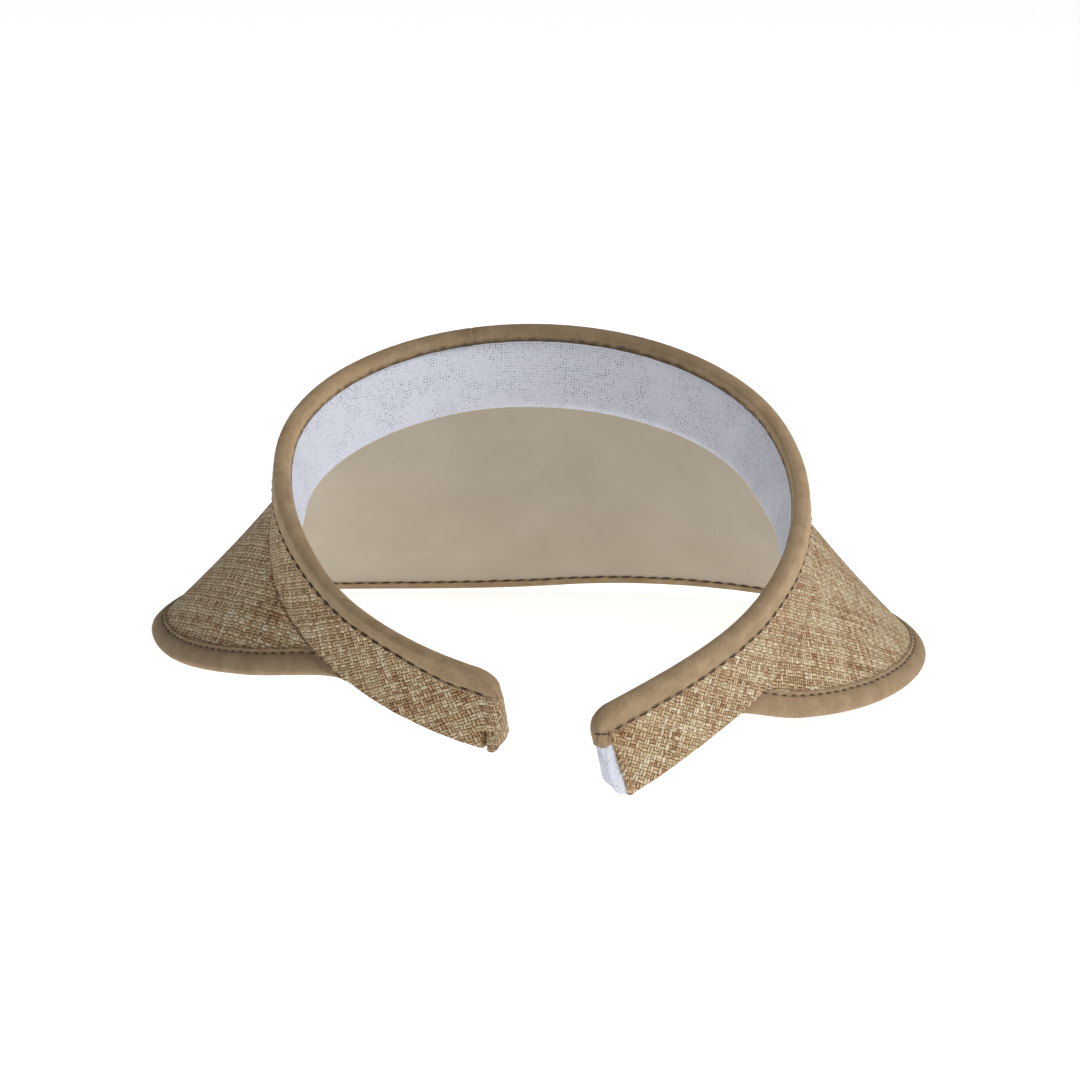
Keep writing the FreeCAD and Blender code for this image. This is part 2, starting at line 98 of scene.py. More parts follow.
BRIM_STATION = 190.0
FLARE, TWIST = 13.4, 8.2
FLARE_RISE = both(33.9, 27.3)
FLARE_REACH = both(0.64, 0.96)
SWEEP = both(48.0, 51.0)
DEPTH, TAIL_DEPTH = 92.5, 4.0
FULLNESS = both(4.47, 3.57)
TAPER = both(1.7, 1.18)
TRIM, TRIM_REACH = 1.6, 0.32
TAIL_TUCK = both(4.2, 3.4)
TAIL_TUCK_STATION = both(166.0, 178.0)
LAYERS_BELOW = 2.6
EDGE_TAPE, EDGE_TAPE_UNDER, UNDER_SHARE = 7.0, 3.3, 0.7
EDGE_TAPE_INSET = 0.85
# Where across the rim tape its inner leg's edge lies; the tape's material paints shade there.
LIP_PLACE = 14.2

STITCH_PITCH, STITCH_LENGTH, THREAD_RADIUS = 4.4, 2.7, 0.27
END_THREAD_RADIUS = 0.3
SLIT_SETBACK, SLIT_HALF, SLIT_TOP, SLIT_DEEP = 3.4, 0.5, 19.0, 2.8

ARM_LEAN_START, ARM_LEAN_RUN = 190.0, 46.0
ARM_TOP_LEAN = both(0.0, 3.6)
ARM_FOOT_LEAN = both(0.0, 6.2)
ARM_CUT = both(-1.9, 4.4)
ARM_DIP = both(2.7, 0.6)
ARM_THIN = both(0.42, 0.12)
DIP_START, DIP_RUN, THIN_DEPTH = 145.0, 45.0, 13.0
LEG_LESS = both(2.1, 1.5)
LEG_REGAIN = both(205.0, 240.0)

RING_TILT, RING_ROLL = 23.9, 1.48


# ---- ring axes to the row frame

def rotation(axis, degrees):
    return np.array(Matrix.Rotation(math.radians(degrees), 3, axis))


TURN = rotation("Y", -RING_ROLL) @ rotation("X", -RING_TILT)


def by_side(values, s):
    """The left or the right one of two values, at each distance along the rim."""
    return np.where(s >= 0, values["left"], values["right"])


def rim(s):
    """Point, direction of travel and inward direction on the rim; s is positive on the left."""
    s = np.asarray(s, float)
    second_radius = by_side(SECOND_RADIUS, s)
    arcs = (
        (FRONT_RADIUS, FRONT_RADIUS * math.radians(FRONT_ANGLE)),
        (second_radius, second_radius * np.radians(by_side(SECOND_ANGLE, s))),
        (by_side(TAIL_RADIUS, s), np.inf),
    )
    x = np.zeros_like(s)
    y = np.full_like(s, -FRONT_RADIUS)
    heading = np.zeros_like(s)
    rest = np.abs(s)
    for radius, length in arcs:
        run = np.minimum(rest, length)
        turn = run / radius
        x = x + radius * (np.sin(heading + turn) - np.sin(heading))
        y = y - radius * (np.cos(heading + turn) - np.cos(heading))
        heading = heading + turn
        rest = rest - run
    mirror = by_side(SIGN, s)
    flat = np.zeros_like(s)
    point = np.stack([mirror * x, y, flat], -1)
    travel = np.stack([mirror * np.cos(heading), np.sin(heading), flat], -1)
    inward = np.stack([-mirror * np.sin(heading), np.cos(heading), flat], -1)
    return point, travel, inward


def hinge_point(side):
    """The arm's hinge, on the band's outer face, in ring axes."""
    point, _, inward = rim(SIGN[side] * HINGE)
    return point - inward * (RIM_HALF + LEAN)


JOINT = {joint["name"]: joint for joint in frame["joints"]}
LIFT = np.array(JOINT["left_arm_flex"]["pos_m"]) - TURN @ hinge_point("left") * MM


def to_row(points):
    """Ring axes in millimetres to the row frame in metres."""
    return np.asarray(points, float) @ TURN.T * MM + LIFT


# ---- small numeric helpers

def smooth(x):
    x = np.clip(x, 0.0, 1.0)
    return x * x * (3 - 2 * x)


def unit(vectors):
    return vectors / np.maximum(np.linalg.norm(vectors, axis=-1, keepdims=True), 1e-9)


def steps(points, axis=0):
    """Distance of each point from the one before it along an axis, zero for the first."""
    return np.linalg.norm(np.diff(points, axis=axis, prepend=points.take([0], axis)), axis=-1)


def wander(x, wavelength, seed):
    """A smooth irregular wave between about -1 and 1, the same on every run."""
    x = np.asarray(x, float) / wavelength
    waves = ((1.0, 0.31), (1.73, 0.27), (2.61, 0.22), (4.17, 0.12), (6.3, 0.08))
    return sum(share * np.sin(2 * math.pi * (x * rate + 0.37 * seed * rate * rate))
               for rate, share in waves)


def walk_down(points):
    """Distance walked down the rows of a grid, as a mean over its columns."""
    return steps(points).mean(axis=1).cumsum()


def sheet_uv(across, down):
    """Cloth coordinates of a grid from those of its columns and of its rows."""
    return np.stack(np.broadcast_arrays(across[None, :], down[:, None]), -1)


def grid_normals(points):
    """Unit normals of a grid of points, rows by columns."""
    down = np.gradient(points, axis=0)
    across = np.gradient(points, axis=1)
    return unit(np.cross(across, down))


def grid_faces(rows, columns, closed_rows=False, flip=False):
    """Quads between neighbouring rows and columns of a grid of vertices."""
    last = rows if closed_rows else rows - 1
    i, j = np.meshgrid(np.arange(last), np.arange(columns - 1), indexing="ij")
    below = (i + 1) % rows
    quads = np.stack(
        [i * columns + j, i * columns + j + 1, below * columns + j + 1, below * columns + j], -1
    ).reshape(-1, 4)
    if flip:
        quads = quads[:, ::-1]
    return quads.tolist()


def add_object(name, data):
    """A new object in the scene."""
    obj = bpy.data.objects.new(name, data)
    bpy.context.scene.collection.objects.link(obj)
    return obj


def make_piece(name, points, faces, uv, material):
    """A smooth-shaded mesh object from ring-axis points; uv is in millimetres of cloth."""
    mesh = bpy.data.meshes.new(name)
    mesh.from_pydata(to_row(points).tolist(), [], faces)
    mesh.polygons.foreach_set("use_smooth", [True] * len(mesh.polygons))
    layer = mesh.uv_layers.new(name="cloth")
    corners = np.zeros(len(mesh.loops), int)
    mesh.loops.foreach_get("vertex_index", corners)
    layer.data.foreach_set("uv", np.asarray(uv, float)[corners].ravel())
    mesh.materials.append(material)
    mesh.validate()
    mesh.update()
    return add_object(name, mesh)


def grid_piece(name, points, uv, material, flip=False):
    rows, columns = points.shape[:2]
    faces = grid_faces(rows, columns, flip=flip)
    return make_piece(name, points.reshape(-1, 3), faces, uv.reshape(-1, 2), material)


def shell_piece(name, outside, inside, uv, material, flip=False):
    """A closed piece between two grids of the same shape."""
    rows, columns = outside.shape[:2]
    loop = np.concatenate([outside, inside[::-1]])
    both = np.concatenate([uv, uv[::-1]])
    faces = grid_faces(2 * rows, columns, closed_rows=True, flip=flip)
    for column in (0, columns - 1):
        for i in range(rows - 1):
            back = 2 * rows - 1 - i
            quad = [k * columns + column for k in (i, i + 1, back - 1, back)]
            faces.append(quad[::-1] if (column == 0) == flip else quad)
    return make_piece(name, loop.reshape(-1, 3), faces, both.reshape(-1, 2), material)


# ---- the band's shape

def outer_wall(offset, depth):
    return offset - LEAN * depth / BAND_HEIGHT


def inner_wall(offset, depth):
    return offset + (PAD_DEPTH - LEAN) * depth / BAND_HEIGHT


def quarter(radius, run):
    """How far a rounded edge has dropped after a run into it."""
    run = np.clip(run, 0.0, radius)
    return radius - np.sqrt(np.maximum(radius * radius - run * run, 0.0))


def top_depth(side, s):
    return TAPE + quarter(END_CORNER, s - (END[side] - END_CORNER))


def foot_depth(side, s):
    foot = END_FOOT[side]
    return BAND_HEIGHT - quarter(foot, s - (END[side] - foot))


def settled_depth(side, s, depth):
    """The depth on a straight stretch moved to suit the rounded corners of the arm's end."""
    top, foot = top_depth(side, s), foot_depth(side, s)
    return top + (depth - TAPE) * (foot - top) / (BAND_HEIGHT - TAPE)


def band_point(side, s, across, depth):
    """A point of the band; the arms' rims dip and thin, the right arm leans out, the ends slant."""
    down = depth / BAND_HEIGHT
    bent = np.clip((s - ARM_LEAN_START) / ARM_LEAN_RUN, 0.0, 1.2)
    arm = smooth((s - DIP_START) / DIP_RUN)
    point, _, inward = rim(SIGN[side] * (s - ARM_CUT[side] * smooth(bent) * down))
    narrowed = 1.0 - ARM_THIN[side] * arm * (1.0 - smooth(depth / THIN_DEPTH))
    across = COVER_FACE + (across - COVER_FACE) * narrowed
    across = across - ARM_TOP_LEAN[side] * bent ** 3 * (1.0 - down)
    across = across - (ARM_FOOT_LEAN[side] * bent ** 2 + 0.15 * ARM_FOOT_LEAN[side] * arm) * down
    depth = depth + ARM_DIP[side] * arm * (1.0 - down)
    return point + inward * across[..., None] - UP * depth[..., None]


OUTER, OUTER_CORNER, END_FACE, INNER_CORNER, INNER = range(5)


def outline(side, zone, t, depth, inset, bulge=0.0):
    """Points round the band at a depth: the outer wall, the arm's end and the inner wall.

    t is s on the walls, an angle on the corners and a fraction on the end face; inset goes square
    into the band.
    """
    end = END[side]
    zone, t, depth, inset = np.broadcast_arrays(zone, t, depth, inset)
    inner_edge = INNER_EDGE + INNER_EDGE_GROWTH * depth / BAND_HEIGHT
    out = outer_wall(COVER_FACE, depth)
    back = inner_wall(RIM_HALF, depth)
    turn = np.where((zone == OUTER_CORNER) | (zone == INNER_CORNER), t, 0.0)
    face = np.clip(np.where(zone == END_FACE, t, 0.0), 0, 1)
    straight = np.where((zone == OUTER) | (zone == INNER), t, 0.0)
    width = back - inner_edge - out - OUTER_EDGE
    puff = bulge * 4 * face * (1 - face) * smooth((depth - 9.0) / 4.0)
    zones = [zone == k for k in range(5)]
    s = np.select(zones, [
        straight, end - OUTER_EDGE + OUTER_EDGE * np.sin(turn), end + puff,
        end - inner_edge + inner_edge * np.cos(turn), straight])
    across = np.select(zones, [
        out, out + OUTER_EDGE * (1 - np.cos(turn)), out + OUTER_EDGE + face * width,
        back - inner_edge + inner_edge * np.sin(turn), back])
    along_in = np.select(zones, [0 * turn, -np.sin(turn), -1 + 0 * turn, -np.cos(turn), 0 * turn])
    across_in = np.select(zones, [1 + 0 * turn, np.cos(turn), 0 * turn, -np.sin(turn), -1 + 0 * turn])
    settled = settled_depth(side, np.minimum(s, end), depth)
    shift = outer_wall(0.0, settled) - outer_wall(0.0, depth)
    shift_back = inner_wall(0.0, settled) - inner_wall(0.0, depth)
    share = np.clip((across - out) / np.maximum(back - out, 1e-6), 0, 1)
    across = across + across_in * inset + shift * (1 - share) + shift_back * share
    return band_point(side, s + along_in * inset, across, settled)


# ---- materials

def linear(red, green, blue):
    """A colour given as 0 to 255 display values, in linear light."""
    def channel(value):
        value = value / 255.0
        return value / 12.92 if value <= 0.04045 else ((value + 0.055) / 1.055) ** 2.4
    return (channel(red), channel(green), channel(blue), 1.0)


class Value:
    """A node's output, which adds, multiplies and compares like a number."""

    def __init__(self, owner, socket):
        self.owner, self.socket = owner, socket

    def __add__(self, other):
        return self.owner.math("ADD", self, other)

    def __sub__(self, other):
        return self.owner.math("SUBTRACT", self, other)

    def __rsub__(self, other):
        return self.owner.math("SUBTRACT", other, self)

    def __mul__(self, other):
        return self.owner.math("MULTIPLY", self, other)

    def __truediv__(self, other):
        return self.owner.math("DIVIDE", self, other)

    def __gt__(self, other):
        return self.owner.math("GREATER_THAN", self, other)


class Shading:
    """A material's node tree, with one short call for each kind of node."""

    def __init__(self, name):
        self.material = bpy.data.materials.new(name)
        self.material.use_nodes = True
        self.tree = self.material.node_tree
        self.shader = self.tree.nodes["Principled BSDF"]

    def feed(self, socket, value):
        if isinstance(value, Value):
            self.tree.links.new(value.socket, socket)
        else:
            socket.default_value = value

    def node(self, kind, inputs=(), output=0, **settings):
        made = self.tree.nodes.new(kind)
        for key, value in settings.items():
            setattr(made, key, value)
        for key, value in dict(inputs).items():
            self.feed(made.inputs[key], value)
        return Value(self, made.outputs[output])

    def math(self, operation, *values):
        return self.node("ShaderNodeMath", enumerate(values), operation=operation)

    def floor(self, value):
        return self.math("FLOOR", value)

    def wave(self, value):
        return self.math("SINE", value)

    def cloth(self, turn=0.0, scale=1.0):
        """The cloth's own coordinates, turned by an angle: the place, and its two numbers."""
        spot = self.node("ShaderNodeUVMap", uv_map="cloth")
        turned = self.node("ShaderNodeVectorRotate", {"Vector": spot, "Angle": math.radians(turn)},
                           rotation_type="Z_AXIS")
        sized = self.node("ShaderNodeVectorMath", {0: turned, "Scale": scale}, operation="SCALE")
        split = self.tree.nodes.new("ShaderNodeSeparateXYZ")
        self.feed(split.inputs[0], sized)
        return sized, Value(self, split.outputs[0]), Value(self, split.outputs[1])

    def spot(self, x, y, z=0.0):
        return self.node("ShaderNodeCombineXYZ", {0: x, 1: y, 2: z})

    def noise(self, where, scale, detail=2.0, roughness=0.5):
        return self.node("ShaderNodeTexNoise",
                         {"Vector": where, "Scale": scale, "Detail": detail, "Roughness": roughness})

    def line_noise(self, where, scale):
        return self.node("ShaderNodeTexNoise", {"W": where, "Scale": scale, "Detail": 1.0},
                         noise_dimensions="1D")

    def chance(self, where):
        """A random number for each whole number."""
        return self.node("ShaderNodeTexWhiteNoise", {"W": where}, noise_dimensions="1D")

    def chance_at(self, where):
        """A random number for each pair of whole numbers."""
        return self.node("ShaderNodeTexWhiteNoise", {"Vector": where}, noise_dimensions="2D")

    def ramp(self, factor, stops):
        made = self.tree.nodes.new("ShaderNodeValToRGB")
        self.feed(made.inputs[0], factor)
        elements = made.color_ramp.elements
        elements[0].position, elements[0].color = stops[0]
        elements[1].position, elements[1].color = stops[-1]
        for place, colour in stops[1:-1]:
            elements.new(place).color = colour
        return Value(self, made.outputs[0])

    def remap(self, value, low, high, to_low, to_high):
        return self.node("ShaderNodeMapRange", {0: value, 1: low, 2: high, 3: to_low, 4: to_high})

    def sway(self, value, reach, low=0.3, high=0.7):
        """A noise turned into a change of up to reach either way."""
        return self.remap(value, low, high, -reach, reach)

    def choose(self, factor, a, b):
        return self.node("ShaderNodeMix", {0: factor, 2: a, 3: b})

    def times(self, colour, red, green, blue):
        """A colour multiplied channel by channel."""
        made = self.tree.nodes.new("ShaderNodeMix")
        made.data_type = "RGBA"
        made.blend_type = "MULTIPLY"
        factors = self.node("ShaderNodeCombineColor", {0: red, 1: green, 2: blue})
        for key, value in ((0, 1.0), (6, colour), (7, factors)):
            self.feed(made.inputs[key], value)
        return Value(self, made.outputs[2])

    def finish(self, colour, height, depth, roughness, specular, sheen=0.0, sheen_tint=(1, 1, 1, 1)):
        """Joins colour and relief, depth in millimetres, to the surface."""
        bump = self.node("ShaderNodeBump", {"Height": height, "Distance": depth * MM, "Strength": 1.0})
        for key, value in (
            ("Base Color", colour), ("Roughness", roughness), ("Normal", bump),
            ("Specular IOR Level", specular), ("Sheen Weight", sheen), ("Sheen Roughness", 0.5),
            ("Sheen Tint", sheen_tint),
        ):
            self.feed(self.shader.inputs[key], value)
        return self.material


def palette(*stops):
    """Ramp stops from their places and their 0 to 255 display colours."""
    return [(place, linear(*colour)) for place, *colour in stops]


STRAW = palette((0.0, 142, 96, 62), (0.25, 181, 144, 106), (0.5, 201, 176, 138),
                (0.75, 212, 196, 163), (1.0, 226, 216, 190))
COTTON = palette((0.0, 122, 100, 73), (0.5, 150, 127, 98), (1.0, 174, 152, 122))
TOWEL = palette((0.0, 128, 133, 150), (0.45, 200, 203, 214), (1.0, 228, 230, 240))
LAMINATE = palette((0.0, 154, 143, 124), (0.5, 174, 163, 145), (1.0, 187, 177, 160))
DARK_PLY = palette((0.0, 44, 31, 20), (1.0, 104, 80, 55))
TAN_PLY = palette((0.0, 120, 88, 56), (1.0, 196, 160, 118))
FLOOR_GREY = ((0.3, (0.86, 0.86, 0.86, 1)), (0.7, (0.88, 0.88, 0.88, 1)))


def woven_straw(name, turn, pitch, lightness):
    """A basket weave, two over two, of uneven slubby yarns; turn is 45 where it is cut on the bias."""
    m = Shading(name)
    where, a, b = m.cloth(turn, 1.0 / pitch)
    swing = (m.noise(where, 0.12) - 0.5) * 1.1
    a = a + swing + (m.line_noise(a, 0.33) - 0.5) * 0.9
    b = b - swing + (m.line_noise(b + 57.3, 0.29) - 0.5) * 1.0

    def yarn(own, cross, seed, sign):
        """Height, tone, strand pattern and painted shade of one set of yarns."""
        index = m.floor(own)
        side = m.math("FRACT", own) * 2.0 - 1.0
        phase = m.math("MULTIPLY_ADD", cross, 0.5, -0.5) + m.floor(own * 0.5)
        cell = m.floor(m.math("MULTIPLY_ADD", phase, 0.5, 0.5 if sign > 0 else 0.0))
        wave = m.math("COSINE", phase * math.pi) * sign
        luck = m.chance(index + seed)
        slub = m.noise(m.spot(index * 3.71, cross * 0.17, seed), 1.0)
        half = m.remap(luck, 0.0, 1.0, 0.62, 0.86) + m.remap(slub, 0.35, 0.65, -0.08, 0.14)
        place = side / (half * m.remap(wave, -0.2, 1.0, 0.78, 1.05))
        arc = m.math("SQRT", m.math("MAXIMUM", 1.0 - place * place, 0.0))
        height = arc * 0.55 + wave * 0.7 - (m.math("ABSOLUTE", place) > 1.0) * 3.0
        # Painted shade: darker towards the yarn's edges and where it dives under the crossing yarn.
        shade = m.remap(arc, 0.05, 0.8, 0.5, 1.0) * m.remap(wave, -0.5, 0.55, 0.42, 1.0)
        strand = m.noise(m.spot(own * 4.0, cross * 0.6, seed), 1.0, 3.0, 0.6)
        tone = m.remap(luck, 0.0, 1.0, 0.3, 0.7) + m.sway(slub, 0.2) + m.sway(strand, 0.2, 0.25, 0.75)
        tone = tone + m.sway(m.chance_at(m.spot(index + seed, cell)), 0.2, 0.0, 1.0)
        return height, tone, strand, shade

    warp, weft = yarn(a, b, 11.0, 1.0), yarn(b, a, 47.0, -1.0)
    warp_on_top = warp[0] > weft[0]
    tone, strand, shade = (m.choose(warp_on_top, weft[k], warp[k]) for k in (1, 2, 3))
    height = m.math("MAXIMUM", m.math("MAXIMUM", warp[0], weft[0]), -0.7)
    colour = m.ramp(tone + m.sway(m.noise(where, 0.05), 0.12), STRAW)
    # Painted shade in the gaps between yarns, darker in some places than others.
    shaded_hole = m.remap(m.noise(where, 0.09), 0.4, 0.62, 0.1, 0.45)
    shade = m.math("MAXIMUM", shade * m.remap(height, -0.6, -0.15, shaded_hole, 1.0), 0.12) * lightness
    # The painted shade darkens blue most and red least, so shaded places look warmer.
    colour = m.times(colour, shade, m.math("POWER", shade, 1.18), m.math("POWER", shade, 1.4))
    return m.finish(colour, height + strand * 0.4, 0.3, m.remap(strand, 0.3, 0.7, 0.65, 0.85),
                    sheen=0.1, sheen_tint=linear(230, 215, 190), specular=0.25)


def bias_tape(name, side_light=0.0, lip=1000.0):
    """Smooth cotton tape: fine slanted ribs, mottling and a soft nap.

    side_light is painted light: the tape is paler round the ring's flanks and darker at the front; lip
    is where across its width a painted shade darkens the inner leg's edge.
    """
    m = Shading(name)
    where, a, b = m.cloth(38.0)
    ribs, cross = m.wave(a * (2 * math.pi / 0.5)), m.wave(b * (2 * math.pi / 0.5))
    thread = m.noise(m.spot(a * 3.0, b * 0.35), 1.0, 3.0, 0.6)
    tone = m.remap(m.noise(where, 0.16, 4.0, 0.6), 0.3, 0.7, 0.28, 0.72) + m.sway(thread, 0.16)
    tone = tone + m.sway(m.noise(where, 2.3, 2.0, 0.6), 0.1) + ribs * 0.2
    colour = m.ramp(tone, COTTON)
    _, along, across = m.cloth()
    place = m.math("ABSOLUTE", along)
    # Painted light: the tape is paler round the ring's flanks and darker at the front.
    pale = m.remap(place, 30.0, 80.0, 0.0, 1.0) * m.remap(place, 130.0, 175.0, 1.0, 0.45)
    ragged = across + m.sway(m.noise(where, 0.35, 3.0), 0.5)
    # Each factor below is painted light or shade, multiplied into the colour.
    for painted_light_and_shade in (
        m.remap(pale, 0.0, 1.0, 1.0 - side_light, 1.0 + 2.0 * side_light),
        # Painted shade along the stitch groove, where the cloth's second coordinate is near zero.
        m.remap(m.math("ABSOLUTE", across), 0.05, 0.5, 0.82, 1.0),
        # Painted shade along the inner leg's edge, from lip inward.
        m.remap(ragged, lip - 2.0, lip - 0.9, 1.0, 0.3),
    ):
        colour = m.times(colour, painted_light_and_shade, painted_light_and_shade, painted_light_and_shade)
    return m.finish(colour, ribs * 0.35 + cross * 0.2 + thread * 0.9, 0.045, 0.82,
                    sheen=0.2, sheen_tint=linear(226, 206, 178), specular=0.2)


def knit_terry(name, pitch):
    """White knitted towelling with rows of tiny pin holes, darkened with painted shade."""
    m = Shading(name)
    where, a, b = m.cloth(0.0, 1.0 / pitch)
    wobble = (m.noise(where, 0.5) - 0.5) * 0.9
    a, b = a + wobble, b - wobble
    x, y = m.math("FRACT", a) - 0.5, m.math("FRACT", b) - 0.5
    away = m.math("SQRT", x * x + y * y)
    luck = m.chance_at(m.spot(m.floor(a), m.floor(b)))
    patch = m.noise(where, 0.09, 3.0, 0.6)
    # Painted shade in the pin holes: they are darkened towards the ramp's blue-grey end.
    shaded_hole = m.remap(away, 0.14, 0.36, 1.0, 0.0) * m.remap(luck, 0.15, 0.9, 0.2, 1.0)
    shaded_hole = shaded_hole * m.remap(patch, 0.38, 0.62, 0.35, 1.0)
    fuzz = m.noise(where, 2.2, 4.0, 0.7)
    colour = m.ramp(m.remap(fuzz, 0.25, 0.75, 0.4, 0.95) - shaded_hole * 0.85, TOWEL)
    return m.finish(colour, fuzz * 0.9 - shaded_hole, 0.16, 0.95,
                    sheen=0.25, sheen_tint=linear(235, 238, 250), specular=0.15)


def laminated_lining(name):
    """Smooth beige laminated cloth with a tight, barely visible grain."""
    m = Shading(name)
    where, a, b = m.cloth()
    grain = m.noise(where, 3.0, 3.0, 0.6)
    weave = m.wave(a * (2 * math.pi / 0.55)) * m.wave(b * (2 * math.pi / 0.55))
    broad = m.remap(m.noise(where, 0.035, 3.0, 0.55), 0.3, 0.7, 0.35, 0.65)
    colour = m.ramp(broad + m.sway(grain, 0.14) + weave * 0.05, LAMINATE)
    rough = m.remap(grain, 0.3, 0.7, 0.42, 0.55)
    return m.finish(colour, weave * 0.5 + grain * 0.8, 0.03, rough, specular=0.35)


def sewing_thread(name, colours):
    """Two-ply polyester thread with slanted strands."""
    m = Shading(name)
    where, a, b = m.cloth()
    twist = m.wave(a * 9.0 + b * (2 * math.pi))
    tone = m.remap(twist, -1.0, 1.0, 0.15, 0.75) + m.sway(m.noise(where, 1.4), 0.2)
    return m.finish(m.ramp(tone, colours), twist, 0.05, 0.6, sheen=0.1, specular=0.35)


BIAS_WEAVE = woven_straw("straw_weave_bias", 45.0, 0.98, 0.9)
BRIM_WEAVE = woven_straw("straw_weave_square", 6.0, 1.0, 0.99)
BINDING = bias_tape("binding_tape")
RIM_BINDING = bias_tape("rim_binding_tape", side_light=0.16, lip=LIP_PLACE)
TERRY = knit_terry("knit_terry", 0.88)
LINING = laminated_lining("brim_lining")
THREAD = sewing_thread("dark_thread", DARK_PLY)
TAN_THREAD = sewing_thread("tan_thread", TAN_PLY)


# ---- threads

THREAD_SIDES = 6


def tubes(name, lines, radius, material):
    """Round threads along several lines of points, in one piece."""
    points, faces, uv, start = [], [], [], 0
    angles = np.linspace(0, 2 * math.pi, THREAD_SIDES, endpoint=False)[None, :, None]
    for line in lines:
        count = len(line)
        ahead = unit(np.gradient(line, axis=0))
        helper = np.where(np.abs(ahead[:, 2:3]) > 0.9, [[1.0, 0.0, 0.0]], [[0.0, 0.0, 1.0]])
        one = unit(np.cross(ahead, helper))
        two = np.cross(ahead, one)
        girth = radius * (0.35 + 0.65 * np.sin(math.pi * np.linspace(0.06, 0.94, count)) ** 0.4)
        ring = np.cos(angles) * one[:, None] + np.sin(angles) * two[:, None]
        points.append((line[:, None] + girth[:, None, None] * ring).reshape(-1, 3))
        round_it = np.tile(np.arange(THREAD_SIDES) / THREAD_SIDES, count)
        uv.append(np.stack([np.repeat(steps(line).cumsum(), THREAD_SIDES), round_it], -1))
        loops = start + np.arange(count * THREAD_SIDES).reshape(count, THREAD_SIDES)
        after = np.roll(loops, -1, axis=1)
        faces += np.stack([loops[:-1], after[:-1], after[1:], loops[1:]], -1).reshape(-1, 4).tolist()
        faces += [loops[0, ::-1].tolist(), loops[-1].tolist()]
        start += count * THREAD_SIDES
    return make_piece(name, np.concatenate(points), faces, np.concatenate(uv), material)


def stitches_along(line, normals, pitch=STITCH_PITCH, length=STITCH_LENGTH, lift=0.16):
    """Centre lines of the stitches that sit on a seam line, each diving in at both ends."""
    run = steps(line).cumsum()
    t = np.linspace(-0.5, 0.5, 9)
    height = lift * (1.8 * np.cos(math.pi * t) ** 0.6 - 1.0)
    made = []
    for middle in np.arange(pitch * 0.5, run[-1] - pitch * 0.5, pitch):
        spot, up = (
            np.stack([np.interp(middle + t * length, run, values[:, k]) for k in range(3)], -1)
            for values in (line, normals)
        )
        made.append(spot + up * height[:, None])
    return made


def stitch_beat(run):
    """A wave with one crest for each stitch."""
    return np.cos(2 * math.pi * run / STITCH_PITCH)


def declare_sheet(uv):
    flat = uv.reshape(-1, 2)
    width, length = (flat.max(axis=0) - flat.min(axis=0)) * MM
    one = uv[1:, 1:] - uv[:-1, :-1]
    two = uv[1:, :-1] - uv[:-1, 1:]
    area = np.abs(one[..., 0] * two[..., 1] - one[..., 1] * two[..., 0]).sum() / 2 * MM * MM
    min(area, width * length)


# ---- woven cover of the band

def outer_columns(side, last):
    """Stations on the outer wall, closer together near the arm's end."""
    near = END[side] - 9.0
    far = np.linspace(0.0, near, 230, endpoint=False)
    return np.concatenate([far, np.arange(near, last, 0.2), [last]])


def cover_columns(side):
    """Zone and place of each column, from the middle of the front round to the cover's end."""
    if side == "right":
        walls = outer_columns(side, END[side] - WEAVE_SETBACK)
        return np.full(len(walls), OUTER), walls
    walls = outer_columns(side, END[side] - OUTER_EDGE)
    corner = np.linspace(0, math.pi / 2, 9)[1:]
    face = np.linspace(0, 1, 12)[1:]
    back = END[side] - INNER_EDGE - INNER_EDGE_GROWTH - np.linspace(0, 3.5, 8)
    places = (walls, corner, face, corner, back)
    return np.repeat(range(5), [len(place) for place in places]), np.concatenate(places)


def make_cover(side):
    zone, place = cover_columns(side)
    straight = np.linspace(2.0, BAND_HEIGHT - HEM_ROUND, 34)
    turn = np.linspace(0, math.pi / 2, 7)[1:]
    hem_depth = BAND_HEIGHT - HEM_ROUND + HEM_ROUND * np.sin(turn)
    hem_inset = HEM_ROUND * (1 - np.cos(turn))
    depth = np.concatenate([straight, hem_depth, [BAND_HEIGHT]])[:, None]
    inset = np.concatenate([0 * straight, hem_inset, [HEM_ROUND + 1.2]])[:, None]
    inset = inset - 0.12 * wander(place[None] + depth * 0.6, 17.0, 3)
    if side == "left":
        slit = np.exp(-((place[None] - END[side] + SLIT_SETBACK) / SLIT_HALF) ** 2)
        slit = slit * smooth((depth - SLIT_TOP) / 1.6) * (zone[None] == OUTER)
        inset = inset + SLIT_DEEP * slit
        puff = smooth((place[None] - END[side] + SLIT_SETBACK) / 1.2) * (zone[None] == OUTER)
        inset = inset - 0.35 * (puff + (zone[None] > OUTER))
    else:
        from_end = place[-1] - place
        roll = smooth(1.0 - from_end / 1.2)
        fold = 0.3 * np.exp(-((from_end - 2.7) / 0.4) ** 2)
        inset = inset + (0.9 * roll ** 6 + fold - 0.3 * smooth(1.0 - from_end / 2.6))[None]
    points = outline(side, zone[None], place[None], depth, inset, bulge=0.5)
    uv = np.stack([SIGN[side] * steps(points, 1).cumsum(axis=1), steps(points).cumsum(axis=0)], -1)
    obj = grid_piece(side + "_cover", points, uv, BIAS_WEAVE, flip=side == "left")
    declare_sheet(uv)
    return obj


def overcast_stitches():
    """Slanted stitches over the raw end of the right arm's cover."""
    last = END["right"] - WEAVE_SETBACK
    t = np.linspace(0, 1, 9)
    lines = []
    for depth in np.arange(9.5, 24.5, 1.9):
        lean = 0.1 * t - 0.3 * smooth(2.3 * t / 2.6) - 0.1 * np.sin(math.pi * t)
        lines.append(outline("right", OUTER, last - 2.3 + 2.3 * t, depth + 1.3 * t, lean))
    return lines


# ---- padded sweatband

